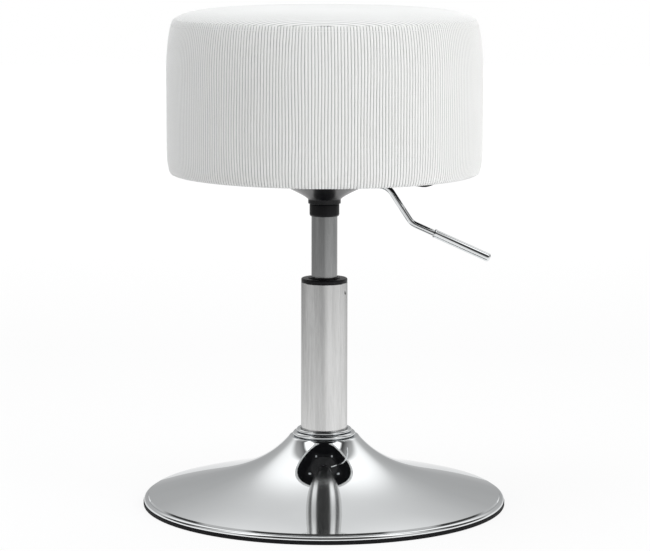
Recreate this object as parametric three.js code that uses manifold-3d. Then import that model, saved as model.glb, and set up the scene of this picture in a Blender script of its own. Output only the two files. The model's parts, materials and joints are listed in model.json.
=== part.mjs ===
// Height-adjustable swivel stool: a deep round drum seat on a gas-lift column
// and a trumpet base. Millimetres, +Z up, the floor at z = 0, the column on the
// Z axis and the release lever towards +X.

import * as THREE from 'three';
import { mergeVertices } from 'three/addons/utils/BufferGeometryUtils.js';
import Module from 'manifold-3d';

const wasm = await Module();
wasm.setup();

// Clearances and facet counts

const gap = 0.3; // between pieces that touch, are pressed in or are welded
const slideGap = 0.3; // round a shaft that slides or turns in another piece
const overrun = 3; // how far a cutter reaches past what it cuts
const weld = 1e-4; // vertices closer than this are one
const facets = { wide: 48, tube: 24, small: 16, tiny: 8, hex: 6 };

// Driving sizes, base

const lift = { down: 62, stopGap: 2, columnReserve: 85.8 };
const floorRing = { outerRadius: 196.1, width: 9, height: 4.2, lipInset: 2.8, lipWidth: 1.8, lipHeight: 0.7 };
const shell = {
  sheet: 1.5,
  rimInset: 0.6,
  beadRadius: 3.3,
  skirt: 0.6,
  stepRun: 0.95,
  stepHeight: 1.9,
  rise: 69.5,
  neckRadius: 36.8,
  neckRound: 0.9,
};
const trumpet = { neckSlope: 50.4, neckReachShare: 0.35, rimSlope: 16, rimReachShare: 0.45, steps: 8 };
const bead = { startAngle: 105, steps: 3 };
const basePlate = { lift: 15.9, thickness: 3 };
const stud = { radius: 6, plugThickness: 8, tail: 2.4 };
const columnWasher = { radius: 15, thickness: 2.5 };
const columnNut = { acrossFlats: 18, height: 10 };
const column = { radius: 25, wall: 1.5, length: 217.8 };
const collarLower = { radius: 34, height: 4.2, round: 1.4 };
const collarUpper = { radius: 30, height: 3.2, round: 1.1 };

// Driving sizes, rod and thrust bearing

const carrier = { lift: 16.7, thickness: 6 };
const race = { innerRadius: 5.2, outerRadius: 16, thickness: 2 };
const ball = { radius: 2.5, count: 8, pitchRadius: 12, rings: 5 };
const cage = { width: 6.4, thickness: 2 };
const rod = { radius: 5, journalRadius: 4, flangeRadius: 9, flangeThickness: 3, endRadius: 3, tail: 2.2 };
const rodWasher = { radius: 9, thickness: 2 };
const rodClip = { radius: 8, thickness: 1.2, grooveDepth: 1, slotShare: 0.7 };
const rodBumper = { radius: 11, height: 6.5 };
const piston = { height: 10, sealHeight: 2.4, sealDepth: 1.5 };

// Driving sizes, gas cylinder and its top

const bush = { sleeve: 55, flange: 4.2, flangeInset: 0.1, lipWidth: 3, lipRise: 1.2, round: 0.8 };
const cylinder = { radius: 14, wall: 1.7, crimpRadius: 9, crimp: 2.7, cap: 3, taperDrop: 0.5 };
const rodGuide = { height: 12 };
const rodSeal = { height: 7 };
const bumper = { wall: 1.7, height: 13.2, round: 2, stopGap: 4.1 };
const button = { radius: 4, proud: 5, length: 23.5, travel: 3.6, chamfer: 0.6 };
const valve = { wellSlack: 2.4 };
const socket = { wall: 1.6, height: 11.9, cylinderSink: 1.7 };
const bell = { sheet: 1.4, height: 28.9, neck: 4.2, rimRadius: 66, flangeWidth: 6, notchHalfWidth: 6.5 };
const bellCurve = { neckRiseShare: 0.166, shoulderRadiusShare: 0.861, shoulderRiseShare: 0.966 };
const bellSteps = 7;

// Driving sizes, lever

const lever = {
  radius: 3.4,
  pivot: 24,
  innerReach: 28,
  outerReach: 43.2,
  dropAngle: 56.9,
  dropLength: 48.3,
  handleAngle: 24.3,
  handleLength: 92.5,
  bendRadius: 18,
  steps: 32,
};
const grip = { radius: 4.8, length: 66.2, end: 2.4, round: 1.4 };
const bracket = { length: 14, ear: 2, web: 2, sideGap: 0.5, pinHeight: 3.5 };
const pin = { radius: 1.9, headRadius: 3.2, head: 1, tail: 1.2 };
const pinClip = { radius: 3.6, thickness: 0.7, grooveDepth: 0.5, slotShare: 0.7 };

// Driving sizes, seat

const plate = { side: 160, corner: 18, thickness: 2.5, boltInset: 20 };
const bolt = { radius: 3, acrossFlats: 10, head: 4, flangeRadius: 6.5, flange: 1.2, tail: 1.5 };
const boltHoleGap = 0.4;
const dustCover = { hemOverlap: 2, thickness: 0.5 };
const board = { inset: 12.5, thickness: 12 };
const tNut = { flangeRadius: 9, flange: 1.2, barrelWall: 1, barrel: 8 };
const cover = {
  radius: 168.5,
  fabric: 1.2,
  hemInset: 20.5,
  cornerInset: 5.4,
  cornerSag: 0.3,
  cornerHeight: 28,
  shoulderHeight: 110.4,
  seamInset: 6.4,
  seamHeight: 163.8,
  seamGap: 0.8,
  crownHeight: 13.2,
};
const cornerShares = { floor: 0.56, wall: 0.38 };
const shoulderShares = { wallRise: 0.235, turnRise: 0.78, turnInset: 0.27 };
const crownShares = { flat: 0.56, turn: 0.876, turnDrop: 0.026 };
const coverSteps = { corner: 4, shoulder: 4, crown: 5 };
const foam = { inset: 0.5, crownStart: 95, cornerInset: 2.5 };

// Levels, from the floor up

const shellLevel = floorRing.height + gap;
const neckTop = shellLevel + shell.rise;
const basePlateLevel = shellLevel + basePlate.lift;
const basePlateTop = basePlateLevel + basePlate.thickness;
const columnWasherLevel = basePlateLevel - gap - columnWasher.thickness;
const columnNutLevel = columnWasherLevel - gap - columnNut.height;
const columnLevel = basePlateTop + gap;
const columnTop = columnLevel + column.length;
const liftUp = column.length - lift.columnReserve - lift.down;
const collarLowerLevel = neckTop + gap;
const collarUpperLevel = collarLowerLevel + collarLower.height + gap;

const carrierLevel = columnLevel + carrier.lift;
const lowerRaceLevel = carrierLevel + carrier.thickness + gap;
const ballLevel = lowerRaceLevel + race.thickness + gap + ball.radius;
const upperRaceLevel = ballLevel + ball.radius + gap;
const rodFlangeLevel = upperRaceLevel + race.thickness + gap;
const rodWasherLevel = carrierLevel - gap - rodWasher.thickness;
const rodClipLevel = rodWasherLevel - gap - rodClip.thickness;
const rodLevel = rodClipLevel - rod.tail;
const rodBumperLevel = rodFlangeLevel + rod.flangeThickness + gap;

const bushLevel = columnTop + gap;
const bushTop = bushLevel + bush.flange + bush.lipRise;
const cylinderLevel = rodBumperLevel + rodBumper.height + lift.down + lift.stopGap;
const rodGuideLevel = cylinderLevel + cylinder.crimp + gap;
const rodSealLevel = rodGuideLevel + rodGuide.height + gap;
const pistonLevel = rodSealLevel + rodSeal.height + liftUp + lift.stopGap;
const pistonTop = pistonLevel + piston.height;
const valveLevel = pistonTop + lift.down + 2 * lift.stopGap;

const bumperLevel = bushTop + lift.down + bumper.stopGap;
const bellLevel = bumperLevel + bumper.height + gap;
const socketLevel = bellLevel + gap;
const cylinderTop = socketLevel + socket.height - socket.cylinderSink;
const cylinderLength = cylinderTop - cylinderLevel;
const taperLevel = socketLevel - cylinderLevel;
const buttonTop = cylinderTop + button.proud;
const leverLevel = buttonTop + gap + lever.radius;

const plateLevel = bellLevel + bell.height + gap;
const dustCoverLevel = plateLevel + plate.thickness + gap;
const hemLevel = dustCoverLevel + dustCover.thickness + gap;
const coverLevel = hemLevel - cover.cornerSag;
const boardLevel = hemLevel + cover.fabric + gap;
const foamLevel = boardLevel + board.thickness + gap;
const foamTop = foamLevel + foam.crownStart;
const topPanelLevel = coverLevel + cover.seamHeight + cover.seamGap;
const tNutLevel = boardLevel + board.thickness - tNut.flange - tNut.barrel;
const boltLevel = plateLevel - gap - bolt.head;
const boltTip = boardLevel + board.thickness - bolt.tail;

// Radii that follow other pieces

const columnBore = column.radius - column.wall;
const plugRadius = columnBore - gap;
const collarBore = column.radius + gap;
const bushBore = cylinder.radius + slideGap;
const cylinderBore = cylinder.radius - cylinder.wall;
const innerPieceRadius = cylinderBore - gap;
const rodBore = rod.radius + slideGap;
const buttonBore = button.radius + slideGap;
const socketRadius = cylinder.radius + gap + socket.wall;
const boltRing = plate.side / 2 - plate.boltInset;
const boardRadius = cover.radius - board.inset;
const hemRadius = cover.radius - cover.hemInset;
const seamRadius = cover.radius - cover.seamInset;
const dustCoverRadius = hemRadius + dustCover.hemOverlap;
const bracketHalfWidth = lever.radius + bracket.sideGap + bracket.ear;
const pinClipOffset = bracketHalfWidth + gap;

// Finishes

const finishes = {
  chrome: { color: 0xd9dbdc, roughness: 0.06, metalness: 1 },
  satinSteel: { color: 0xc4c3c0, roughness: 0.3, metalness: 1 },
  groundSteel: { color: 0x8d9090, roughness: 0.35, metalness: 1 },
  zinc: { color: 0xb9bcbd, roughness: 0.4, metalness: 1 },
  blackPaint: { color: 0x1c1d1e, roughness: 0.25, metalness: 0.2 },
  blackPlastic: { color: 0x111214, roughness: 0.45, metalness: 0 },
  rubber: { color: 0x0d0d0e, roughness: 0.8, metalness: 0 },
  greyPlastic: { color: 0xc9c9c4, roughness: 0.5, metalness: 0 },
  redPlastic: { color: 0xb03028, roughness: 0.45, metalness: 0 },
  plywood: { color: 0xc8a06a, roughness: 0.7, metalness: 0 },
  foam: { color: 0xe8dfae, roughness: 0.95, metalness: 0 },
  corduroy: { color: 0xeceae6, roughness: 0.95, metalness: 0 },
  dustCloth: { color: 0x17171a, roughness: 0.95, metalness: 0 },
};

// Mesh tools

const radians = THREE.MathUtils.degToRad;

function signedVolume(position, index) {
  const a = new THREE.Vector3();
  const b = new THREE.Vector3();
  const c = new THREE.Vector3();
  let sum = 0;
  for (let i = 0; i < index.length; i += 3) {
    a.fromBufferAttribute(position, index[i]);
    b.fromBufferAttribute(position, index[i + 1]);
    c.fromBufferAttribute(position, index[i + 2]);
    sum += a.dot(b.cross(c));
  }
  return sum / 6;
}

// One closed skin: shared vertices merged, empty triangles out, faces outward
function closed(geometry) {
  geometry.deleteAttribute('normal');
  geometry.deleteAttribute('uv');
  const merged = mergeVertices(geometry, weld);
  const source = merged.index.array;
  const index = [];
  for (let i = 0; i < source.length; i += 3) {
    const [a, b, c] = [source[i], source[i + 1], source[i + 2]];
    if (a !== b && b !== c && c !== a) index.push(a, b, c);
  }
  if (signedVolume(merged.getAttribute('position'), index) < 0) index.reverse();
  merged.setIndex(index);
  return merged;
}

function toSolid(geometry) {
  const vertProperties = new Float32Array(geometry.getAttribute('position').array);
  const triVerts = new Uint32Array(geometry.index.array);
  return new wasm.Manifold(new wasm.Mesh({ numProp: 3, vertProperties, triVerts }));
}

function fromSolid(solid) {
  const mesh = solid.getMesh();
  const geometry = new THREE.BufferGeometry();
  geometry.setAttribute('position', new THREE.BufferAttribute(mesh.vertProperties, 3));
  geometry.setIndex(new THREE.BufferAttribute(mesh.triVerts, 1));
  return geometry;
}

function cut(geometry, cutters) {
  const solid = cutters.reduce((rest, cutter) => rest.subtract(toSolid(cutter)), toSolid(geometry));
  return fromSolid(solid);
}

function join(geometries) {
  const [first, ...others] = geometries.map(toSolid);
  return fromSolid(others.reduce((whole, other) => whole.add(other), first));
}

// Basic shapes, each standing on z = 0

// A profile of [radius, height] pairs turned about Z, closed on itself or on the axis
function lathe(profile, count) {
  const outline = profile.map(([radius, height]) => new THREE.Vector2(radius, height));
  if (profile[0][0] > 0) outline.push(outline[0].clone());
  const geometry = new THREE.LatheGeometry(outline, count);
  geometry.rotateX(Math.PI / 2);
  return closed(geometry);
}

function disc(radius, height, count) {
  return lathe([[0, 0], [radius, 0], [radius, height], [0, height]], count);
}

function ring(inner, outer, height, count) {
  return lathe([[inner, 0], [outer, 0], [outer, height], [inner, height]], count);
}

function prism(radius, height, sides) {
  const geometry = new THREE.CylinderGeometry(radius, radius, height, sides);
  geometry.rotateX(Math.PI / 2);
  geometry.translate(0, 0, height / 2);
  return closed(geometry);
}

function block(width, depth, height) {
  const geometry = new THREE.BoxGeometry(width, depth, height);
  geometry.translate(0, 0, height / 2);
  return closed(geometry);
}

function hexRadius(acrossFlats) {
  return acrossFlats / 2 / Math.cos(Math.PI / facets.hex);
}

function curvePoints(ends, steps) {
  const [a, b, c, d] = ends.map(([radius, height]) => new THREE.Vector2(radius, height));
  return new THREE.CubicBezierCurve(a, b, c, d).getPoints(steps).map((p) => [p.x, p.y]);
}

function arcPoints(centre, radius, from, to, steps) {
  const points = [];
  for (let i = 0; i <= steps; i += 1) {
    const angle = radians(from + ((to - from) * i) / steps);
    points.push([centre[0] + radius * Math.cos(angle), centre[1] + radius * Math.sin(angle)]);
  }
  return points;
}

// A line of [radius, height] pairs given a thickness towards its right-hand side
function sheetProfile(line, thickness) {
  const inner = line.map(([radius, height], i) => {
    const before = line[Math.max(i - 1, 0)];
    const after = line[Math.min(i + 1, line.length - 1)];
    const run = Math.hypot(after[0] - before[0], after[1] - before[1]);
    const outward = (after[1] - before[1]) / run;
    const upward = -(after[0] - before[0]) / run;
    const offsetRadius = radius > 0 ? radius + thickness * outward : 0;
    return [offsetRadius, height + thickness * upward];
  });
  return [...line, ...inner.reverse()];
}

// A chrome collar round the column tube, with its outer edges rounded
function collarRing({ radius, height, round }) {
  return lathe([
    [collarBore, 0],
    [radius - round, 0],
    [radius, round],
    [radius, height - round],
    [radius - round, height],
    [collarBore, height],
  ], facets.tube);
}

// An open clip that snaps into a groove
function openClip(shaftRadius, size) {
  const inner = shaftRadius - size.grooveDepth + gap;
  const slot = block(size.radius + overrun, 2 * inner * size.slotShare, size.thickness + 2 * overrun);
  slot.translate((size.radius + overrun) / 2, 0, -overrun);
  return cut(ring(inner, size.radius, size.thickness, facets.small), [slot]);
}

// Outlines that more than one piece follows

// Outside of the trumpet from the neck over the stepped edge to the foot of its rolled rim
function trumpetLine() {
  const rimRadius = floorRing.outerRadius - shell.rimInset;
  const beadCentre = [rimRadius - shell.beadRadius, shell.skirt];
  const rim = arcPoints(beadCentre, shell.beadRadius, bead.startAngle, 0, bead.steps);
  const neck = [shell.neckRadius + shell.neckRound, shell.rise - shell.neckRound];
  const edge = [rim[0][0] - shell.stepRun, rim[0][1] + shell.stepHeight];
  const span = edge[0] - neck[0];
  const neckReach = span * trumpet.neckReachShare;
  const rimReach = span * trumpet.rimReachShare;
  const neckSlope = radians(trumpet.neckSlope);
  const rimSlope = radians(trumpet.rimSlope);
  const curve = curvePoints([
    neck,
    [neck[0] + neckReach * Math.cos(neckSlope), neck[1] - neckReach * Math.sin(neckSlope)],
    [edge[0] - rimReach * Math.cos(rimSlope), edge[1] + rimReach * Math.sin(rimSlope)],
    edge,
  ], trumpet.steps);
  const flat = [[collarBore, shell.rise], [shell.neckRadius, shell.rise]];
  return [...flat, ...curve, ...rim, [rimRadius, 0]];
}

// Radius at which a falling line passes a height
function radiusAtHeight(line, height) {
  const i = line.findIndex((point) => point[1] < height);
  const [outer, inner] = [line[i], line[i - 1]];
  return inner[0] + ((outer[0] - inner[0]) * (inner[1] - height)) / (inner[1] - outer[1]);
}

// Outside of the side panel, from the seam down to the turned-in hem
function coverSideLine() {
  const { radius, cornerHeight, shoulderHeight, seamHeight } = cover;
  const cornerRadius = radius - cover.cornerInset;
  const shoulderRise = seamHeight - shoulderHeight;
  const shoulder = curvePoints([
    [seamRadius, seamHeight],
    [
      radius - (radius - seamRadius) * shoulderShares.turnInset,
      shoulderHeight + shoulderRise * shoulderShares.turnRise,
    ],
    [radius, shoulderHeight + shoulderRise * shoulderShares.wallRise],
    [radius, shoulderHeight],
  ], coverSteps.shoulder);
  const corner = curvePoints([
    [radius, cornerHeight],
    [radius, cornerHeight * cornerShares.wall],
    [cornerRadius + (radius - cornerRadius) * cornerShares.floor, 0],
    [cornerRadius, 0],
  ], coverSteps.corner);
  return [...shoulder, ...corner, [hemRadius, cover.cornerSag]];
}

// Outside of the crowned top panel, from its centre out to the seam
function coverTopLine() {
  const radius = seamRadius - cover.seamGap;
  const drop = cover.crownHeight;
  return curvePoints([
    [0, drop],
    [radius * crownShares.flat, drop],
    [radius * crownShares.turn, drop * (1 - crownShares.turnDrop)],
    [radius, 0],
  ], coverSteps.crown);
}

// Base pieces

function floorRingGeometry() {
  const { outerRadius, width, height, lipInset, lipWidth, lipHeight } = floorRing;
  const inner = outerRadius - width;
  const lipOuter = outerRadius - lipInset;
  const lipInner = lipOuter - lipWidth;
  return lathe([
    [inner, 0],
    [outerRadius, 0],
    [outerRadius, height],
    [lipOuter, height],
    [lipOuter, height + lipHeight],
    [lipInner, height + lipHeight],
    [lipInner, height],
    [inner, height],
  ], facets.wide);
}

function baseShellGeometry() {
  return lathe(sheetProfile(trumpetLine(), shell.sheet), facets.wide);
}

// Flat disc whose edge meets the inside of the trumpet
function basePlateGeometry() {
  const outside = trumpetLine();
  const inside = sheetProfile(outside, shell.sheet).slice(outside.length).reverse();
  const edge = radiusAtHeight(inside, basePlateTop + gap - shellLevel);
  return ring(stud.radius + gap, edge, basePlate.thickness, facets.tube);
}

// Plug welded in the foot of the column tube, with a threaded stud below it
function studPlugGeometry() {
  const studLength = columnLevel - columnNutLevel + stud.tail;
  return lathe([
    [0, -studLength],
    [stud.radius, -studLength],
    [stud.radius, 0],
    [plugRadius, 0],
    [plugRadius, stud.plugThickness],
    [0, stud.plugThickness],
  ], facets.tube);
}

function columnNutGeometry() {
  const hole = disc(stud.radius + gap, columnNut.height + 2 * overrun, facets.tube);
  hole.translate(0, 0, -overrun);
  return cut(prism(hexRadius(columnNut.acrossFlats), columnNut.height, facets.hex), [hole]);
}

function guideBushGeometry() {
  const flangeRadius = column.radius - bush.flangeInset;
  const lipRadius = bushBore + bush.lipWidth;
  return lathe([
    [bushBore, -bush.sleeve],
    [plugRadius, -bush.sleeve],
    [plugRadius, 0],
    [flangeRadius, 0],
    [flangeRadius, bush.flange - bush.round],
    [flangeRadius - bush.round, bush.flange],
    [lipRadius, bush.flange],
    [lipRadius, bush.flange + bush.lipRise],
    [bushBore, bush.flange + bush.lipRise],
  ], facets.tube);
}

// Rod and bearing pieces

function pistonRodGeometry() {
  const { radius, journalRadius, flangeRadius, flangeThickness, endRadius } = rod;
  const clipStart = rodClipLevel - gap - rodLevel;
  const clipEnd = rodClipLevel + rodClip.thickness + gap - rodLevel;
  const grooveRadius = journalRadius - rodClip.grooveDepth;
  const flangeStart = rodFlangeLevel - rodLevel;
  const shoulder = pistonLevel - gap - rodLevel;
  return lathe([
    [0, 0],
    [journalRadius, 0],
    [journalRadius, clipStart],
    [grooveRadius, clipStart],
    [grooveRadius, clipEnd],
    [journalRadius, clipEnd],
    [journalRadius, flangeStart],
    [flangeRadius, flangeStart],
    [flangeRadius, flangeStart + flangeThickness],
    [radius, flangeStart + flangeThickness],
    [radius, shoulder],
    [endRadius, shoulder],
    [endRadius, pistonTop - rodLevel],
    [0, pistonTop - rodLevel],
  ], facets.small);
}

function ballCageGeometry() {
  const body = ring(
    ball.pitchRadius - cage.width / 2,
    ball.pitchRadius + cage.width / 2,
    cage.thickness,
    facets.small,
  );
  const pockets = [];
  for (let i = 0; i < ball.count; i += 1) {
    const pocket = disc(ball.radius + gap, cage.thickness + 2 * overrun, facets.tiny);
    const angle = (2 * Math.PI * i) / ball.count;
    pocket.translate(ball.pitchRadius * Math.cos(angle), ball.pitchRadius * Math.sin(angle), -overrun);
    pockets.push(pocket);
  }
  return cut(body, pockets);
}

function pistonHeadGeometry() {
  const grooveStart = (piston.height - piston.sealHeight) / 2 - gap;
  const grooveEnd = piston.height - grooveStart;
  const grooveRadius = innerPieceRadius - piston.sealDepth;
  const bore = rod.endRadius + gap;
  return lathe([
    [bore, 0],
    [innerPieceRadius, 0],
    [innerPieceRadius, grooveStart],
    [grooveRadius, grooveStart],
    [grooveRadius, grooveEnd],
    [innerPieceRadius, grooveEnd],
    [innerPieceRadius, piston.height],
    [bore, piston.height],
  ], facets.small);
}

// Cylinder pieces

function gasCylinderGeometry() {
  const { radius, crimpRadius, crimp, cap, taperDrop } = cylinder;
  return lathe([
    [crimpRadius, 0],
    [radius, 0],
    [radius, taperLevel],
    [radius - taperDrop, cylinderLength],
    [buttonBore, cylinderLength],
    [buttonBore, cylinderLength - cap],
    [cylinderBore - taperDrop, cylinderLength - cap],
    [cylinderBore, taperLevel],
    [cylinderBore, crimp],
    [crimpRadius, crimp],
  ], facets.tube);
}

function valveBodyGeometry() {
  const height = cylinderTop - cylinder.cap - gap - valveLevel;
  const wellFloor = buttonTop - button.length - button.travel - valve.wellSlack - valveLevel;
  const taperStart = socketLevel - valveLevel;
  return lathe([
    [0, 0],
    [innerPieceRadius, 0],
    [innerPieceRadius, taperStart],
    [innerPieceRadius - cylinder.taperDrop, height],
    [buttonBore, height],
    [buttonBore, wellFloor],
    [0, wellFloor],
  ], facets.tube);
}

function releaseButtonGeometry() {
  const { radius, length, chamfer } = button;
  return lathe([
    [0, 0],
    [radius, 0],
    [radius, length - chamfer],
    [radius - chamfer, length],
    [0, length],
  ], facets.tube);
}

function bumperRingGeometry() {
  const inner = cylinder.radius + gap;
  const outer = inner + bumper.wall;
  const round = Math.min(bumper.round, bumper.wall);
  return lathe([
    [inner, 0],
    [outer - round / 2, 0],
    [outer, round],
    [outer, bumper.height - round / 2],
    [outer - round / 2, bumper.height],
    [inner, bumper.height],
  ], facets.tube);
}

function taperSocketGeometry() {
  const mouth = cylinder.radius + gap;
  return lathe([
    [mouth, 0],
    [socketRadius, 0],
    [socketRadius, socket.height],
    [mouth - cylinder.taperDrop, socket.height],
  ], facets.tube);
}

// Bell between the socket and the seat plate, notched where the lever leaves
function plateBellGeometry() {
  const neckRadius = socketRadius + gap + bell.sheet;
  const rise = bell.height - bell.sheet;
  const curveRise = rise - bell.neck;
  const curve = curvePoints([
    [bell.rimRadius, rise],
    [
      neckRadius + (bell.rimRadius - neckRadius) * bellCurve.shoulderRadiusShare,
      bell.neck + curveRise * bellCurve.shoulderRiseShare,
    ],
    [neckRadius, bell.neck + curveRise * bellCurve.neckRiseShare],
    [neckRadius, bell.neck],
  ], bellSteps);
  const line = [[bell.rimRadius + bell.flangeWidth, rise], ...curve, [neckRadius, 0]];
  const body = lathe(sheetProfile(line, bell.sheet), facets.tube);
  const notchStart = socketRadius + bell.sheet;
  const notchReach = bell.rimRadius + bell.flangeWidth + overrun - notchStart;
  const notchBottom = leverLevel - lever.radius - gap - bellLevel;
  const notch = block(notchReach, 2 * bell.notchHalfWidth, bell.height + overrun - notchBottom);
  notch.translate(notchStart + notchReach / 2, 0, notchBottom);
  return cut(body, [notch]);
}

// Lever pieces, drawn round the pivot

function leverBends() {
  const drop = radians(lever.dropAngle);
  const handle = radians(lever.handleAngle);
  const inner = new THREE.Vector3(-lever.innerReach, 0, 0);
  const first = new THREE.Vector3(lever.outerReach, 0, 0);
  const down = new THREE.Vector3(Math.cos(drop), 0, -Math.sin(drop));
  const second = first.clone().addScaledVector(down, lever.dropLength);
  const along = new THREE.Vector3(Math.cos(handle), 0, -Math.sin(handle));
  const tip = second.clone().addScaledVector(along, lever.handleLength);
  return { inner, first, second, tip, along };
}

// Straight runs joined by short curves that touch them at equal distances
function bentPath(points, bendRadius) {
  const path = new THREE.CurvePath();
  let start = points[0];
  for (let i = 1; i < points.length - 1; i += 1) {
    const corner = points[i];
    const arriving = corner.clone().sub(points[i - 1]).normalize();
    const leaving = points[i + 1].clone().sub(corner).normalize();
    const reach = bendRadius * Math.tan(arriving.angleTo(leaving) / 2);
    const enter = corner.clone().addScaledVector(arriving, -reach);
    const exit = corner.clone().addScaledVector(leaving, reach);
    path.add(new THREE.LineCurve3(start, enter));
    path.add(new THREE.QuadraticBezierCurve3(enter, corner, exit));
    start = exit;
  }
  path.add(new THREE.LineCurve3(start, points[points.length - 1]));
  return path;
}

function circleShape(radius, sides) {
  const points = [];
  for (let i = 0; i < sides; i += 1) {
    const angle = (2 * Math.PI * i) / sides;
    points.push(new THREE.Vector2(radius * Math.cos(angle), radius * Math.sin(angle)));
  }
  return new THREE.Shape(points);
}

function leverRodGeometry() {
  const { inner, first, second, tip, along } = leverBends();
  const end = tip.clone().addScaledVector(along, -(grip.end + gap));
  const extrudePath = bentPath([inner, first, second, end], lever.bendRadius);
  const options = { steps: lever.steps, bevelEnabled: false, extrudePath };
  const body = closed(new THREE.ExtrudeGeometry(circleShape(lever.radius, facets.tiny), options));
  const hole = disc(pin.radius + slideGap, 2 * (lever.radius + overrun), facets.tiny);
  hole.translate(0, 0, -lever.radius - overrun);
  hole.rotateX(Math.PI / 2);
  return cut(body, [hole]);
}

// Sleeve closed at the tip, its mouth at z = 0
function leverGripGeometry() {
  const { radius, length, end, round } = grip;
  const bore = lever.radius + gap;
  return lathe([
    [0, length - end],
    [bore, length - end],
    [bore, 0],
    [radius, 0],
    [radius, length - round],
    [radius - round, length],
    [0, length],
  ].reverse(), facets.small);
}

// Channel whose two ears carry the lever pin
function leverBracketGeometry() {
  const inside = 2 * (lever.radius + bracket.sideGap);
  const height = plateLevel - gap - leverLevel + bracket.pinHeight;
  const body = block(bracket.length, inside + 2 * bracket.ear, height);
  const channel = block(bracket.length + 2 * overrun, inside, height - bracket.web + overrun);
  channel.translate(0, 0, -overrun);
  const reach = inside + 2 * (bracket.ear + overrun);
  const hole = disc(pin.radius + gap, reach, facets.tiny);
  hole.translate(0, 0, -reach / 2);
  hole.rotateX(Math.PI / 2);
  hole.translate(0, 0, bracket.pinHeight);
  return cut(body, [channel, hole]);
}

// Pin with a head on one side and a clip groove on the other, along Y
function leverPinGeometry() {
  const { radius, headRadius, head, tail } = pin;
  const headStart = -bracketHalfWidth - gap - head;
  const grooveRadius = radius - pinClip.grooveDepth;
  const grooveStart = pinClipOffset - gap;
  const grooveEnd = pinClipOffset + pinClip.thickness + gap;
  const geometry = lathe([
    [0, headStart],
    [headRadius, headStart],
    [headRadius, headStart + head],
    [radius, headStart + head],
    [radius, grooveStart],
    [grooveRadius, grooveStart],
    [grooveRadius, grooveEnd],
    [radius, grooveEnd],
    [radius, grooveEnd + tail],
    [0, grooveEnd + tail],
  ], facets.tiny);
  geometry.rotateX(Math.PI / 2);
  return geometry;
}

// Seat pieces

// The four bolt places, in order round the plate
function boltPlaces() {
  return [[1, 1], [-1, 1], [-1, -1], [1, -1]].map(([x, y]) => [x * boltRing, y * boltRing]);
}

function holeCutters(radius, height, base) {
  return boltPlaces().map(([x, y]) => {
    const hole = disc(radius, height + 2 * overrun, facets.tiny);
    hole.translate(x, y, base - overrun);
    return hole;
  });
}

function seatPlateGeometry() {
  const half = plate.side / 2;
  const flat = half - plate.corner;
  const shape = new THREE.Shape();
  shape.moveTo(half, -flat);
  shape.lineTo(half, flat);
  shape.absarc(flat, flat, plate.corner, 0, Math.PI / 2);
  shape.lineTo(-flat, half);
  shape.absarc(-flat, flat, plate.corner, Math.PI / 2, Math.PI);
  shape.lineTo(-half, -flat);
  shape.absarc(-flat, -flat, plate.corner, Math.PI, (3 * Math.PI) / 2);
  shape.lineTo(flat, -half);
  shape.absarc(flat, -flat, plate.corner, (3 * Math.PI) / 2, 2 * Math.PI);
  const options = { depth: plate.thickness, bevelEnabled: false, curveSegments: facets.tiny / 2 };
  const body = closed(new THREE.ExtrudeGeometry(shape, options));
  return cut(body, holeCutters(bolt.radius + boltHoleGap, plate.thickness, 0));
}

function dustCoverGeometry() {
  const body = disc(dustCoverRadius, dustCover.thickness, facets.tube);
  return cut(body, holeCutters(bolt.radius + boltHoleGap, dustCover.thickness, 0));
}

function seatBoardGeometry() {
  const recess = tNut.flange + gap;
  const barrelHole = bolt.radius + gap + tNut.barrelWall + gap;
  return cut(disc(boardRadius, board.thickness, facets.wide), [
    ...holeCutters(barrelHole, board.thickness, 0),
    ...holeCutters(tNut.flangeRadius + gap, recess, board.thickness - recess + overrun),
  ]);
}

function plateBoltGeometry() {
  const shankLength = boltTip - boltLevel - bolt.head;
  const head = prism(hexRadius(bolt.acrossFlats), bolt.head, facets.hex);
  const shank = lathe([
    [0, bolt.head / 2],
    [bolt.radius, bolt.head / 2],
    [bolt.radius, bolt.head - bolt.flange],
    [bolt.flangeRadius, bolt.head - bolt.flange],
    [bolt.flangeRadius, bolt.head],
    [bolt.radius, bolt.head],
    [bolt.radius, bolt.head + shankLength],
    [0, bolt.head + shankLength],
  ], facets.tiny);
  return join([head, shank]);
}

function tNutGeometry() {
  const inner = bolt.radius + gap;
  const barrelRadius = inner + tNut.barrelWall;
  return lathe([
    [inner, 0],
    [barrelRadius, 0],
    [barrelRadius, tNut.barrel],
    [tNut.flangeRadius, tNut.barrel],
    [tNut.flangeRadius, tNut.barrel + tNut.flange],
    [inner, tNut.barrel + tNut.flange],
  ], facets.tiny);
}

// Block of firm foam, its lower edge drawn in behind the cover's rounded corner
function foamCoreGeometry() {
  const radius = cover.radius - cover.fabric - foam.inset;
  const cornerTop = coverLevel + cover.cornerHeight - foamLevel;
  const height = foam.crownStart - gap;
  return lathe([
    [0, 0],
    [radius - foam.cornerInset, 0],
    [radius, cornerTop],
    [radius, height],
    [0, height],
  ], facets.wide);
}

// Softer crown of the filling: the inside of the cover, less a gap
function foamCrownGeometry() {
  const inset = cover.fabric + foam.inset;
  const outside = coverSideLine();
  const side = sheetProfile(outside, inset).slice(outside.length);
  const shoulder = side.map(([radius, height]) => [radius, height + coverLevel - foamTop]);
  const rising = shoulder.filter(([, height]) => height > foam.inset);
  const top = coverTopLine();
  const panel = sheetProfile(top, inset).slice(top.length);
  const crown = panel.map(([radius, height]) => [radius, height + topPanelLevel - foamTop]);
  return lathe([[0, 0], [rising[0][0], 0], ...rising, ...crown.slice(1)], facets.tube);
}

function coverSideGeometry() {
  return lathe(sheetProfile(coverSideLine(), cover.fabric), facets.wide);
}

function coverTopGeometry() {
  return lathe(sheetProfile(coverTopLine(), cover.fabric), facets.wide);
}

// Assembly

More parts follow.
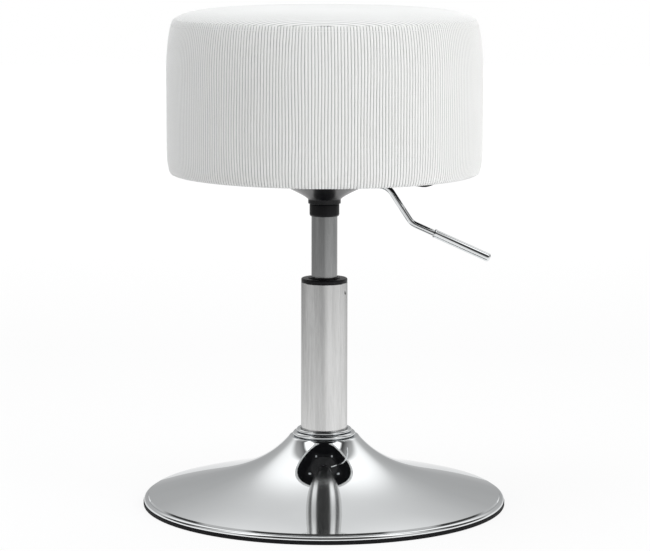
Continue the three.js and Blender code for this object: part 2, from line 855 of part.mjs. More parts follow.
const stool = new THREE.Group();
const baseGroup = new THREE.Group();
const rodGroup = new THREE.Group();
const cageGroup = new THREE.Group();
const seatGroup = new THREE.Group();
const leverGroup = new THREE.Group();
stool.add(baseGroup, rodGroup, seatGroup);
baseGroup.add(cageGroup);
seatGroup.add(leverGroup);

function addPiece(group, name, geometry, finish, height) {
  geometry.computeVertexNormals();
  const mesh = new THREE.Mesh(geometry, new THREE.MeshStandardMaterial(finishes[finish]));
  mesh.name = name;
  mesh.position.z = height;
  group.add(mesh);
  return mesh;
}

function buildBase() {
  const plug = disc(plugRadius, carrier.thickness, facets.tube);
  const journalHole = disc(rod.journalRadius + slideGap, carrier.thickness + 2 * overrun, facets.tube);
  journalHole.translate(0, 0, -overrun);
  const washerHole = stud.radius + gap;
  const washer = ring(washerHole, columnWasher.radius, columnWasher.thickness, facets.tube);
  const tube = ring(columnBore, column.radius, column.length, facets.tube);
  const lowerRace = ring(race.innerRadius, race.outerRadius, race.thickness, facets.small);
  addPiece(baseGroup, 'floor_ring', floorRingGeometry(), 'rubber', 0);
  addPiece(baseGroup, 'base_shell', baseShellGeometry(), 'chrome', shellLevel);
  addPiece(baseGroup, 'base_plate', basePlateGeometry(), 'zinc', basePlateLevel);
  addPiece(baseGroup, 'stud_plug', studPlugGeometry(), 'zinc', columnLevel);
  addPiece(baseGroup, 'column_washer', washer, 'zinc', columnWasherLevel);
  addPiece(baseGroup, 'column_nut', columnNutGeometry(), 'zinc', columnNutLevel);
  addPiece(baseGroup, 'column_tube', tube, 'satinSteel', columnLevel);
  addPiece(baseGroup, 'collar_lower', collarRing(collarLower), 'chrome', collarLowerLevel);
  addPiece(baseGroup, 'collar_upper', collarRing(collarUpper), 'chrome', collarUpperLevel);
  addPiece(baseGroup, 'rod_carrier', cut(plug, [journalHole]), 'zinc', carrierLevel);
  addPiece(baseGroup, 'lower_race', lowerRace, 'groundSteel', lowerRaceLevel);
  addPiece(baseGroup, 'guide_bush', guideBushGeometry(), 'blackPlastic', bushLevel);
}

function buildCage() {
  addPiece(cageGroup, 'ball_cage', ballCageGeometry(), 'greyPlastic', ballLevel - cage.thickness / 2);
  for (let i = 0; i < ball.count; i += 1) {
    const angle = (2 * Math.PI * i) / ball.count;
    const sphere = closed(new THREE.SphereGeometry(ball.radius, facets.tiny, ball.rings));
    const mesh = addPiece(cageGroup, `bearing_ball_${i + 1}`, sphere, 'groundSteel', ballLevel);
    mesh.position.x = ball.pitchRadius * Math.cos(angle);
    mesh.position.y = ball.pitchRadius * Math.sin(angle);
  }
}

function buildRod() {
  const washerBore = rod.journalRadius + gap;
  const washer = ring(washerBore, rodWasher.radius, rodWasher.thickness, facets.small);
  const upperRace = ring(race.innerRadius, race.outerRadius, race.thickness, facets.small);
  const stop = ring(rod.radius + gap, rodBumper.radius, rodBumper.height, facets.small);
  const sealInner = innerPieceRadius - piston.sealDepth + gap;
  const seal = ring(sealInner, innerPieceRadius, piston.sealHeight, facets.small);
  const sealLevel = pistonLevel + (piston.height - piston.sealHeight) / 2;
  addPiece(rodGroup, 'piston_rod', pistonRodGeometry(), 'groundSteel', rodLevel);
  addPiece(rodGroup, 'rod_clip', openClip(rod.journalRadius, rodClip), 'groundSteel', rodClipLevel);
  addPiece(rodGroup, 'rod_washer', washer, 'zinc', rodWasherLevel);
  addPiece(rodGroup, 'upper_race', upperRace, 'groundSteel', upperRaceLevel);
  addPiece(rodGroup, 'rod_bumper', stop, 'rubber', rodBumperLevel);
  addPiece(rodGroup, 'piston_head', pistonHeadGeometry(), 'zinc', pistonLevel);
  addPiece(rodGroup, 'piston_seal', seal, 'rubber', sealLevel);
}

function buildCylinder() {
  const guide = ring(rodBore, innerPieceRadius, rodGuide.height, facets.tube);
  const seal = ring(rodBore, innerPieceRadius, rodSeal.height, facets.tube);
  const buttonLevel = buttonTop - button.length;
  addPiece(seatGroup, 'gas_cylinder', gasCylinderGeometry(), 'groundSteel', cylinderLevel);
  addPiece(seatGroup, 'rod_guide', guide, 'greyPlastic', rodGuideLevel);
  addPiece(seatGroup, 'rod_seal', seal, 'rubber', rodSealLevel);
  addPiece(seatGroup, 'valve_body', valveBodyGeometry(), 'zinc', valveLevel);
  addPiece(seatGroup, 'release_button', releaseButtonGeometry(), 'redPlastic', buttonLevel);
  addPiece(seatGroup, 'bumper_ring', bumperRingGeometry(), 'blackPlastic', bumperLevel);
  addPiece(seatGroup, 'taper_socket', taperSocketGeometry(), 'zinc', socketLevel);
  addPiece(seatGroup, 'plate_bell', plateBellGeometry(), 'blackPaint', bellLevel);
}

function buildLever() {
  const { tip, along } = leverBends();
  leverGroup.position.set(lever.pivot, 0, leverLevel);
  addPiece(leverGroup, 'lever_rod', leverRodGeometry(), 'chrome', 0);
  const sleeve = addPiece(leverGroup, 'lever_grip', leverGripGeometry(), 'chrome', 0);
  sleeve.position.copy(tip).addScaledVector(along, -grip.length);
  sleeve.rotation.y = Math.PI / 2 + radians(lever.handleAngle);
  const channel = addPiece(seatGroup, 'lever_bracket', leverBracketGeometry(), 'zinc', 0);
  channel.position.set(lever.pivot, 0, leverLevel - bracket.pinHeight);
  const shaft = addPiece(seatGroup, 'lever_pin', leverPinGeometry(), 'groundSteel', leverLevel);
  shaft.position.x = lever.pivot;
  const clip = addPiece(seatGroup, 'pin_clip', openClip(pin.radius, pinClip), 'groundSteel', leverLevel);
  clip.position.x = lever.pivot;
  clip.position.y = -pinClipOffset;
  clip.rotation.x = Math.PI / 2;
}

function buildSeat() {
  addPiece(seatGroup, 'seat_plate', seatPlateGeometry(), 'blackPaint', plateLevel);
  boltPlaces().forEach(([x, y], i) => {
    const screw = addPiece(seatGroup, `plate_bolt_${i + 1}`, plateBoltGeometry(), 'zinc', boltLevel);
    screw.position.set(x, y, boltLevel);
    const nut = addPiece(seatGroup, `t_nut_${i + 1}`, tNutGeometry(), 'zinc', tNutLevel);
    nut.position.set(x, y, tNutLevel);
  });
  addPiece(seatGroup, 'dust_cover', dustCoverGeometry(), 'dustCloth', dustCoverLevel);
  addPiece(seatGroup, 'seat_board', seatBoardGeometry(), 'plywood', boardLevel);
  addPiece(seatGroup, 'foam_core', foamCoreGeometry(), 'foam', foamLevel);
  addPiece(seatGroup, 'foam_crown', foamCrownGeometry(), 'foam', foamTop);
  addPiece(seatGroup, 'seat_cover_side', coverSideGeometry(), 'corduroy', coverLevel);
  addPiece(seatGroup, 'seat_cover_top', coverTopGeometry(), 'corduroy', topPanelLevel);
}

buildBase();
buildCage();
buildRod();
buildCylinder();
buildLever();
buildSeat();

export default stool;
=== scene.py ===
# Height-adjustable stool: corduroy drum seat, gas-lift column, chrome trumpet base.
# Metres, +Z up, the front towards -Y and the release lever towards +X.
import json
import math
import random

import bmesh
import bpy
import numpy as np
from mathutils import Matrix, Vector


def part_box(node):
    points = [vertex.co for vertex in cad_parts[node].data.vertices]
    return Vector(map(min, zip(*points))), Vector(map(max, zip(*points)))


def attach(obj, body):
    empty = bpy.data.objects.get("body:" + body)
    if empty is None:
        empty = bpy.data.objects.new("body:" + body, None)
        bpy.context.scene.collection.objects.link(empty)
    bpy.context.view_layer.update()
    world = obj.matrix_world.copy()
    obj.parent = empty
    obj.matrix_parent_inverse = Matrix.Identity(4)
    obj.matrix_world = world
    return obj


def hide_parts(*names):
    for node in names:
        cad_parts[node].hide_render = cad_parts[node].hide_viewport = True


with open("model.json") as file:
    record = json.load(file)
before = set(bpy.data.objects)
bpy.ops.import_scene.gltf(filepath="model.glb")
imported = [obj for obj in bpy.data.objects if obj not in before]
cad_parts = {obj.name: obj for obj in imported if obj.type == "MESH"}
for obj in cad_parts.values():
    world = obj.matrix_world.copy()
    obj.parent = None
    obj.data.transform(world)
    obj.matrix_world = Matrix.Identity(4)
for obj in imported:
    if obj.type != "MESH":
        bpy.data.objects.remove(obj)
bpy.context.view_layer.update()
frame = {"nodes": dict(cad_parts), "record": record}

MM = 0.001
TURN = 2 * math.pi
SEED = 7
WELD = 1e-7
SHARP_ANGLE = 35

# Camera, at the photograph's place

IMAGE_WIDTH_PX = 650
FOCAL_PX = 2560.4
SENSOR = 36.0
CAMERA_PLACE = (0.0007, -2.7284, 0.637)
CAMERA_TILT = math.radians(8.104)
CAMERA_ROLL = math.radians(0.1)


def add_object(name, data):
    made = bpy.data.objects.new(name, data)
    bpy.context.scene.collection.objects.link(made)
    return made


def add_camera():
    data = bpy.data.cameras.new("camera")
    data.sensor_width = SENSOR
    data.lens = FOCAL_PX * SENSOR / IMAGE_WIDTH_PX
    camera = add_object("camera", data)
    camera.location = CAMERA_PLACE
    tilted = Matrix.Rotation(math.pi / 2 - CAMERA_TILT, 3, "X")
    camera.rotation_euler = (tilted @ Matrix.Rotation(CAMERA_ROLL, 3, "Z")).to_euler()
    bpy.context.scene.camera = camera


# Node helpers for materials

NOISE_SPAN = (0.3, 0.7)


class Nodes:
    """Short calls to build the node tree of a material or a world."""

    def __init__(self, owner):
        owner.use_nodes = True
        owner.node_tree.nodes.clear()
        self.owner = owner
        self.tree = owner.node_tree

    def add(self, kind, inputs=(), **settings):
        """A node with its settings. Each input is linked to an output or set to a value."""
        node = self.tree.nodes.new("ShaderNode" + kind)
        for key, value in settings.items():
            setattr(node, key, value)
        for key, value in dict(inputs).items():
            socket = node.inputs[key]
            if isinstance(value, bpy.types.NodeSocket):
                self.tree.links.new(value, socket)
            else:
                socket.default_value = (*value, 1) if socket.type == "RGBA" else value
        return node

    def math(self, operation, *values):
        return self.add("Math", enumerate(values), operation=operation).outputs[0]

    def vector(self, operation, *values):
        outputs = self.add("VectorMath", enumerate(values), operation=operation).outputs
        return outputs["Value" if operation in ("LENGTH", "DOT_PRODUCT") else "Vector"]

    def parts(self, vector):
        """The X, Y and Z of a vector."""
        return self.add("SeparateXYZ", {"Vector": vector}).outputs

    def between(self, low, high, share):
        """A value from low to high, by a share from 0 to 1."""
        return self.math("MULTIPLY_ADD", self.math("SUBTRACT", high, low), share, low)

    def attribute(self, name):
        return self.add("Attribute", attribute_name=name).outputs["Fac"]

    def place(self, stretch=(1, 1, 1)):
        """Object coordinates in metres, stretched along each axis."""
        place = self.add("TexCoord").outputs["Object"]
        return self.add("Mapping", {"Vector": place, "Scale": stretch}).outputs["Vector"]

    def noise(self, scale, detail=3, stretch=(1, 1, 1)):
        inputs = {"Vector": self.place(stretch), "Scale": scale, "Detail": detail}
        return self.add("TexNoise", inputs).outputs["Fac"]

    def cells(self, scale, randomness=1):
        """Distance from the nearest of many points, scattered or in rows."""
        inputs = {"Vector": self.place(), "Scale": scale, "Randomness": randomness}
        return self.add("TexVoronoi", inputs).outputs["Distance"]

    def mix(self, factor, low, high, blend_type="MIX"):
        """A colour from two, each constant or from the tree, by a factor from 0 to 1."""
        inputs = {"Factor": factor, "A": low, "B": high}
        return self.add("Mix", inputs, data_type="RGBA", blend_type=blend_type).outputs["Result"]

    def range(self, value, low, high, source=NOISE_SPAN, **settings):
        """The value with its source span brought to the span from low to high, and held there."""
        inputs = {"Value": value, "To Min": low, "To Max": high, "From Min": source[0],
                  "From Max": source[1]}
        return self.add("MapRange", inputs, **settings).outputs["Result"]

    def bump(self, height, distance):
        return self.add("Bump", {"Height": height, "Distance": distance}).outputs["Normal"]

    def shader(self, colour, rough, **more):
        """The material, given its surface. Underscores in the names of its sockets stand for spaces."""
        inputs = {"Base Color": colour, "Roughness": rough}
        inputs.update({key.replace("_", " "): value for key, value in more.items()})
        return self.surface(self.add("BsdfPrincipled", inputs).outputs["BSDF"])

    def surface(self, shader, kind="Material"):
        self.add("Output" + kind, {"Surface": shader})
        return self.owner


def new_material(name):
    return Nodes(bpy.data.materials.new(name))


# Materials: the plain finishes, each with its noise's scale, then those that need more

BLACK = {"dark": (0.005, 0.005, 0.006), "light": (0.009, 0.009, 0.010)}
FINISHES = {
    "chrome": dict(dark=(0.85, 0.867, 0.875), light=(0.885, 0.904, 0.912), scale=14, rough=(0.015, 0.032),
                   Metallic=1.0, Specular_Tint=(0.75, 0.755, 0.76), relief=0),
    "ground_steel": dict(dark=(0.34, 0.345, 0.345), light=(0.40, 0.405, 0.405), scale=700,
                         rough=(0.16, 0.22), Metallic=1.0, relief=0.004 * MM, stretch=(1, 1, 0.08)),
    "zinc": dict(dark=(0.46, 0.48, 0.50), light=(0.66, 0.68, 0.70), scale=120, rough=(0.28, 0.45),
                 Metallic=1.0),
    "staple_wire": dict(dark=(0.42, 0.43, 0.44), light=(0.60, 0.61, 0.62), scale=700, rough=(0.25, 0.4),
                        Metallic=1.0, relief=0.01 * MM),
    "black_paint": dict(**BLACK, scale=420, rough=(0.16, 0.24), Specular_IOR_Level=0.26),
    "black_plastic": dict(**BLACK, scale=900, rough=(0.30, 0.42), Specular_IOR_Level=0.2),
    "rubber": dict(**BLACK, scale=600, rough=(0.6, 0.8), relief=0.05 * MM, Specular_IOR_Level=0.2),
    "plate_paint": dict(dark=(0.006, 0.006, 0.007), light=(0.011, 0.011, 0.012), scale=420,
                        rough=(0.35, 0.5), Specular_IOR_Level=0.1),
    "grey_plastic": dict(dark=(0.55, 0.55, 0.52), light=(0.64, 0.64, 0.61), scale=500, rough=(0.4, 0.5)),
    "red_plastic": dict(dark=(0.36, 0.02, 0.015), light=(0.50, 0.04, 0.03), scale=500, rough=(0.35, 0.45)),
    "white_thread": dict(dark=(0.80, 0.80, 0.79), light=(0.92, 0.92, 0.91), scale=3000, rough=(0.7, 0.85),
                         relief=0.05 * MM, stretch=(1, 1, 0.3)),
}


def finish(name, dark, light, scale, rough, relief=0.02 * MM, stretch=(1, 1, 1), **constants):
    """A material whose colour, roughness and fine relief all vary with one noise."""
    nodes = new_material(name)
    noise = nodes.noise(scale, detail=4, stretch=stretch)
    if relief:
        constants["Normal"] = nodes.bump(noise, relief)
    colour = nodes.mix(nodes.range(noise, 0, 1), dark, light)
    return nodes.shader(colour, nodes.range(noise, *rough), **constants)


def satin_steel_material():
    """Drawn tube: fine lines along it, darker at grazing angles, with painted shade in the dent."""
    nodes = new_material("satin_steel")
    lines = nodes.noise(700, detail=4, stretch=(1, 1, 0.08))
    streaks = nodes.noise(110, stretch=(1, 1, 0.05))
    both = nodes.range(nodes.between(streaks, lines, 0.35), 0, 1, (0.35, 0.65))
    steel = nodes.mix(both, (0.62, 0.62, 0.615), (0.86, 0.86, 0.855))
    # Painted shade: the colour goes near black where the dimple is deepest.
    colour = nodes.mix(nodes.attribute("dent_painted_shade"), steel, (0.06, 0.06, 0.06))
    return nodes.shader(colour, nodes.range(lines, 0.20, 0.26), Normal=nodes.bump(lines, 0.004 * MM),
                        Metallic=1.0, Specular_Tint=(0.6, 0.6, 0.6))


def plywood_material():
    """Thin plies seen on the edge, long grain on the faces."""
    nodes = new_material("plywood")
    inputs = {"Vector": nodes.place(), "Scale": 130, "Distortion": 0.6}
    plies = nodes.add("TexWave", inputs, bands_direction="Z").outputs["Fac"]
    grain = nodes.noise(260, detail=5, stretch=(0.06, 1, 1))
    both = nodes.range(nodes.math("MULTIPLY", plies, grain), 0, 1, (0, 0.6))
    colour = nodes.mix(both, (0.36, 0.22, 0.11), (0.66, 0.48, 0.28))
    return nodes.shader(colour, 0.7, Normal=nodes.bump(grain, 0.2 * MM))


def foam_material():
    """Open cells, a little yellowed."""
    nodes = new_material("seat_foam")
    cells = nodes.cells(900)
    colour = nodes.mix(nodes.range(cells, 0, 1, (0, 0.8)), (0.62, 0.55, 0.30), (0.84, 0.78, 0.52))
    return nodes.shader(colour, 0.95, Normal=nodes.bump(cells, 0.5 * MM))


def corduroy_material():
    """White pile with fine fibres and a soft sheen, its colour painted greyer in the grooves as shade."""
    nodes = new_material("white_corduroy")
    fibres = nodes.noise(2600)
    patches = nodes.noise(9)
    rib_shade = nodes.range(nodes.attribute("rib_shade"), 0, 1, (0, 0.85))
    # Painted shade: grey in the grooves between the wales, white on their crests.
    pile = nodes.mix(rib_shade, (0.33, 0.33, 0.328), (0.935, 0.938, 0.932))
    wear = nodes.mix(nodes.range(nodes.between(patches, fibres, 0.6), 0, 1), (0.93, 0.93, 0.92), (1, 1, 1))
    return nodes.shader(nodes.mix(1, pile, wear, "MULTIPLY"), nodes.range(fibres, 0.82, 0.98),
                        Normal=nodes.bump(fibres, 0.12 * MM), Sheen_Weight=0.25, Sheen_Roughness=0.5,
                        Specular_IOR_Level=0.2)


def dust_cloth_material():
    """Spun-bonded black cloth: small pressed dots in rows."""
    nodes = new_material("dust_cloth")
    dots = nodes.cells(700, randomness=0.1)
    fibres = nodes.noise(1500, detail=4, stretch=(1, 0.2, 1))
    colour = nodes.mix(nodes.range(fibres, 0, 1), (0.003, 0.003, 0.004), (0.009, 0.009, 0.010))
    return nodes.shader(colour, nodes.range(dots, 0.7, 0.95, (0, 0.6)), Normal=nodes.bump(dots, 0.2 * MM),
                        Specular_IOR_Level=0.05)


def build_materials():
    """One material for each slot of the record, and three more: plate_paint, white_thread, staple_wire."""
    made = {name: finish(name, **row) for name, row in FINISHES.items()}
    return made | {"satin_steel": satin_steel_material(), "plywood": plywood_material(),
                   "foam": foam_material(), "corduroy": corduroy_material(),
                   "dust_cloth": dust_cloth_material()}


# Mesh helpers


def clean_mesh(name, vertices, faces, tidy):
    """A mesh whose faces look outwards, its doubled vertices joined where asked."""
    mesh = bpy.data.meshes.new(name)
    mesh.from_pydata(vertices, [], faces)
    work = bmesh.new()
    work.from_mesh(mesh)
    if tidy:
        bmesh.ops.remove_doubles(work, verts=work.verts, dist=WELD)
    bmesh.ops.recalc_face_normals(work, faces=work.faces)
    work.to_mesh(mesh)
    work.free()
    return mesh


def shade_smooth(mesh, sharp=SHARP_ANGLE):
    mesh.shade_smooth()
    mesh.set_sharp_from_angle(angle=math.radians(sharp))


def piece(name, vertices, faces, slot, body, replaces=(), sharp=SHARP_ANGLE, tidy=False):
    """A mesh object with one material, riding on a body and standing for CAD nodes."""
    mesh = clean_mesh(name, vertices, faces, tidy)
    shade_smooth(mesh, sharp)
    mesh.materials.append(materials[slot])
    made = add_object(name, mesh)
    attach(made, body)
    if replaces:
        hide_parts(*replaces)
    return made


def add_attribute(made, name, values):
    """Keeps one value for each vertex on the mesh, for its material."""
    attribute = made.data.attributes.new(name, "FLOAT", "POINT")
    attribute.data.foreach_set("value", values.astype(np.float32))


def grid_faces(rows, columns, wrap_rows, wrap_columns):
    """Quads of a grid of vertices stored row by row."""
    faces = []
    for i in range(rows if wrap_rows else rows - 1):
        here = i * columns
        above = ((i + 1) % rows) * columns
        for j in range(columns if wrap_columns else columns - 1):
            beside = (j + 1) % columns
            faces.append((here + j, here + beside, above + beside, above + j))
    return faces


def shifted(faces, start):
    """The faces with their vertices counted on from a start."""
    return [tuple(start + v for v in face) for face in faces]


def flipped(faces):
    return [face[::-1] for face in faces]


def band(first, second):
    """Quads between two closed loops of vertices."""
    return list(zip(first, first[1:] + first[:1], second[1:] + second[:1], second))


def clamp(value):
    """The value, held between 0 and 1."""
    return min(1.0, max(0.0, value))


def polar(radius, angle, *height):
    return (radius * math.cos(angle), radius * math.sin(angle), *height)


def turn(outline, segments):
    """Vertices and faces of a closed outline of (radius, height) turned about Z."""
    angles = [TURN * j / segments for j in range(segments)]
    points = [polar(radius, angle, height) for radius, height in outline for angle in angles]
    return points, grid_faces(len(outline), segments, True, True)


def cylinder(radius, low, high, segments):
    return turn([(0, low), (radius, low), (radius, high), (0, high)], segments)


def turned_piece(name, outline, slot, body, replaces, segments):
    return piece(name, *turn(outline, segments), slot, body, replaces, tidy=True)


def bezier(ends, steps):
    """Points along a cubic curve."""
    a, b, c, d = (Vector(end) for end in ends)
    shares = [(i / steps, 1 - i / steps) for i in range(steps + 1)]
    return [tuple(a * s ** 3 + b * 3 * s * s * t + c * 3 * s * t * t + d * t ** 3) for t, s in shares]


def arc(centre, radius, start, end, steps):
    """Points round a centre, with angles in degrees."""
    angles = [math.radians(start + (end - start) * i / steps) for i in range(steps + 1)]
    return [(centre[0] + radius * math.cos(a), centre[1] + radius * math.sin(a)) for a in angles]


def sheet_outline(line, thickness):
    """Closed outline of a sheet that follows a line and lies on its right-hand side."""
    moved = []
    for i, point in enumerate(line):
        before = Vector(line[max(i - 1, 0)])
        after = Vector(line[min(i + 1, len(line) - 1)])
        along = (after - before).normalized()
        moved.append((point[0] + thickness * along.y, point[1] - thickness * along.x))
    return [*line, *reversed(moved)]


def rounded(outline, radius, steps=4, sharpest=25):
    """A closed outline in which each corner sharper than some degrees is a small arc."""
    longest = 0.45
    shares = [k / steps for k in range(steps + 1)]
    made = []
    for i, corner in enumerate(outline):
        here = Vector(corner)
        back = Vector(outline[i - 1]) - here
        ahead = Vector(outline[(i + 1) % len(outline)]) - here
        opening = back.angle(ahead)
        if math.pi - opening < math.radians(sharpest) or here.x < WELD:
            made.append(corner)
            continue
        reach = min(radius / math.tan(opening / 2), longest * back.length, longest * ahead.length)
        start = here + back.normalized() * reach
        end = here + ahead.normalized() * reach
        made += [tuple(start * (1 - t) ** 2 + here * 2 * t * (1 - t) + end * t * t) for t in shares]
    return made


def section(node):
    """Closed outline of a turned CAD node, read where its mesh meets the half-plane y = 0, x > 0."""
    mesh = frame["nodes"][node].data
    near = 0.02 * MM
    digits = 6
    links = {}
    for edge in mesh.edges:
        a, b = (mesh.vertices[i].co for i in edge.vertices)
        if max(abs(a.y), abs(b.y)) > near or min(a.x, b.x) < -near:
            continue
        start, end = ((round(max(p.x, 0), digits), round(p.z, digits)) for p in (a, b))
        if start != end:
            links.setdefault(start, set()).add(end)
            links.setdefault(end, set()).add(start)
    ends = sorted(point for point, others in links.items() if len(others) == 1)
    walk = [ends[0] if ends else min(links)]
    while True:
        onward = sorted(links[walk[-1]] - set(walk))
        if not onward:
            return walk
        walk.append(onward[0])


def fine_piece(node, name, slot, body, edge=0.3 * MM, segments=96):
    """A turned CAD node made again with fine facets and softly broken edges."""
    return turned_piece(name, rounded(section(node), edge), slot, body, (node,), segments)


def cut_away(target, vertices, faces):
    """Takes the volume of a closed body out of the target's mesh."""
    cutter = add_object("cutter", clean_mesh("cutter", vertices, faces, tidy=True))
    modifier = target.modifiers.new("cut", "BOOLEAN")
    modifier.operation = "DIFFERENCE"
    modifier.solver = "EXACT"
    modifier.object = cutter
    bpy.context.view_layer.update()
    evaluated = target.evaluated_get(bpy.context.evaluated_depsgraph_get())
    mesh = bpy.data.meshes.new_from_object(evaluated)
    target.modifiers.clear()
    target.data = mesh
    bpy.data.objects.remove(cutter)


def box_body(low, high):
    corners = [(x, y, z) for x in (low[0], high[0]) for y in (low[1], high[1]) for z in (low[2], high[2])]
    return corners, [(0, 1, 3, 2), (4, 6, 7, 5), (0, 4, 5, 1), (2, 3, 7, 6), (0, 2, 6, 4), (1, 5, 7, 3)]


def merged(*parts):
    """Vertices and faces of several bodies in one mesh."""
    vertices = []
    faces = []
    for part_vertices, part_faces in parts:
        faces += shifted(part_faces, len(vertices))
        vertices += part_vertices
    return vertices, faces


# Base

BASE_TURNED = (
    ("floor_ring", "rubber_floor_ring", "rubber", "base", 0.7 * MM, 256),
    ("base_plate", "base_disc", "zinc", "base", 0.4 * MM, 128),
    ("stud_plug", "column_stud", "zinc", "base", 0.5 * MM),
    ("column_washer", "base_washer", "zinc", "base", 0.4 * MM),
    ("collar_lower", "lower_collar", "chrome", "base", 1.2 * MM, 160),
    ("collar_upper", "upper_collar", "chrome", "base", 1.0 * MM, 160),
    ("lower_race", "lower_bearing_race", "ground_steel", "base"),
    ("guide_bush", "tube_bush", "black_plastic", "base", 0.5 * MM, 160),
)


def build_base_shell():
    """Chrome trumpet pressed from sheet, its rim rolled over the rubber ring."""
    low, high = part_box("base_shell")
    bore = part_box("column_tube")[1].x + 0.3 * MM
    sheet = 1.5 * MM
    skirt = 0.6 * MM
    neck_radius = 36.8 * MM
    neck_round = 0.9 * MM
    neck_slope = math.radians(50.4)
    neck_pull = 0.35
    bead_radius = 3.3 * MM
    bead_start = 105
    step = Vector((0.95 * MM, 1.9 * MM))
    rim_slope = math.radians(16)
    rim_pull = 0.45
    rim = arc((high.x - bead_radius, low.z + skirt), bead_radius, bead_start, 0, 14)
    neck_corner = arc((neck_radius, high.z - neck_round), neck_round, 90, 45, 5)
    neck = neck_corner[-1]
    edge = (rim[0][0] - step.x, rim[0][1] + step.y)
    span = edge[0] - neck[0]
    neck_reach = neck_pull * span
    rim_reach = rim_pull * span
    curve = bezier([
        neck,
        (neck[0] + neck_reach * math.cos(neck_slope), neck[1] - neck_reach * math.sin(neck_slope)),
        (edge[0] - rim_reach * math.cos(rim_slope), edge[1] + rim_reach * math.sin(rim_slope)),
        edge,
    ], 72)
    line = [(bore, high.z), *neck_corner, *curve[1:], *rim, (high.x, low.z)]
    turned_piece("trumpet_base", sheet_outline(line, sheet), "chrome", "base", ("base_shell",), 256)


def build_column_tube():
    """Outer tube with a crimp dimple on two sides that holds the bush."""
    low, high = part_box("column_tube")
    outside = high.x
    inside = outside - 1.5 * MM
    edge = 0.3 * MM
    segments = 240
    dimple_height = high.z - 9.7 * MM
    dimple_angle = math.radians(-25.3)
    dimple_depth = 1.3 * MM
    dimple_half = Vector((1.7 * MM, 2.6 * MM))
    row_reach = 5 * MM
    row_step = 0.5 * MM
    dent_shade = 1.5
    rows = np.arange(dimple_height - row_reach, dimple_height + row_reach, row_step)
    outline = [(outside, z) for z in (low.z, *rows, high.z - edge)]
    outline += [(outside - edge, high.z), (inside + edge, high.z), (inside, high.z - edge), (inside, low.z)]
    vertices, faces = turn(outline, segments)
    made = []
    painted_dent_shades = []
    for x, y, z in vertices:
        radius = math.hypot(x, y)
        depth = 0
        for side in (0, math.pi):
            away = math.remainder(math.atan2(y, x) - dimple_angle - side, TURN) * radius
            share = (away / dimple_half.x) ** 2 + ((z - dimple_height) / dimple_half.y) ** 2
            if radius > outside - edge / 2 and share < 1:
                depth = dimple_depth * (1 - share) ** 1.5
        scale = (radius - depth) / radius
        made.append((x * scale, y * scale, z))
        # Painted shade: the deeper the dimple here, the darker the tube's colour.
        painted_dent_shades.append(min(dent_shade * depth / dimple_depth, 1))
    tube = piece("outer_tube", made, faces, "satin_steel", "base", ("column_tube",))
    add_attribute(tube, "dent_painted_shade", np.array(painted_dent_shades))


def hex_body(across, low, high, both_ends):
    """A hexagonal prism whose corners are turned down below and, where asked, above."""
    per_side = 8
    slope = 0.5
    corner_radius = across / 2 / math.cos(math.pi / 6)
    face_radius = 0.97 * across / 2
    corners = [polar(corner_radius, TURN * i / 6) for i in range(6)]
    shares = [k / per_side for k in range(per_side)]
    ring = []
    for (x, y), (next_x, next_y) in zip(corners, corners[1:] + corners[:1]):
        ring += [(x + (next_x - x) * t, y + (next_y - y) * t) for t in shares]
    radii = [math.hypot(x, y) for x, y in ring]

    def face_loop(height):
        return [(x * face_radius / r, y * face_radius / r, height) for (x, y), r in zip(ring, radii)]

    def side_loop(height, rise):
        return [(x, y, height + rise * (r - face_radius)) for (x, y), r in zip(ring, radii)]

    high_loop = side_loop(high, -slope if both_ends else 0)
    points = face_loop(low) + side_loop(low, slope) + high_loop + face_loop(high)
    count = len(ring)
    faces = grid_faces(4, count, False, True)
    faces += [tuple(range(count)), tuple(range(3 * count, 4 * count))]
    return points, faces


def build_column_nut():
    low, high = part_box("column_nut")
    across = high.x * math.cos(math.pi / 6) * 2
    hexagon = hex_body(across, low.z, high.z, both_ends=True)
    nut = piece("base_nut", *hexagon, "zinc", "base", ("column_nut",), tidy=True)
    bore = 6.15 * MM
    cut_away(nut, *cylinder(bore, low.z - MM, high.z + MM, 48))


def build_base():
    build_base_shell()
    build_column_tube()
    build_column_nut()
    for row in BASE_TURNED:
        fine_piece(*row)


# Rod, bearing and gas cylinder

LIFT_TURNED = (
    ("piston_rod", "gas_rod", "ground_steel", "rod"),
    ("rod_washer", "rod_end_washer", "zinc", "rod"),
    ("upper_race", "upper_bearing_race", "ground_steel", "rod"),
    ("rod_bumper", "rubber_rod_stop", "rubber", "rod", 0.8 * MM),
    ("piston_head", "gas_piston", "zinc", "rod"),
    ("piston_seal", "gas_piston_seal", "rubber", "rod", 0.4 * MM),
    ("gas_cylinder", "gas_tube", "ground_steel", "seat", 0.5 * MM, 160),
    ("rod_guide", "gas_rod_guide", "grey_plastic", "seat"),
    ("rod_seal", "gas_rod_seal", "rubber", "seat", 0.5 * MM),
    ("valve_body", "gas_valve", "zinc", "seat"),
    ("release_button", "valve_button", "red_plastic", "button", 0.5 * MM),
    ("bumper_ring", "rubber_bumper_ring", "black_plastic", "seat", 1.1 * MM, 160),
    ("taper_socket", "cylinder_socket", "zinc", "seat"),
)
BALLS = range(1, 9)


def build_balls():
    for i in BALLS:
        low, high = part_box(f"bearing_ball_{i}")
        work = bmesh.new()
        bmesh.ops.create_icosphere(work, subdivisions=3, radius=(high.z - low.z) / 2)
        vertices = [tuple(v.co + (low + high) / 2) for v in work.verts]
        faces = [tuple(v.index for v in face.verts) for face in work.faces]
        work.free()
        piece(f"steel_ball_{i}", vertices, faces, "ground_steel", "cage", (f"bearing_ball_{i}",))


def build_lift():
    build_balls()
    for row in LIFT_TURNED:
        fine_piece(*row)


# Bell


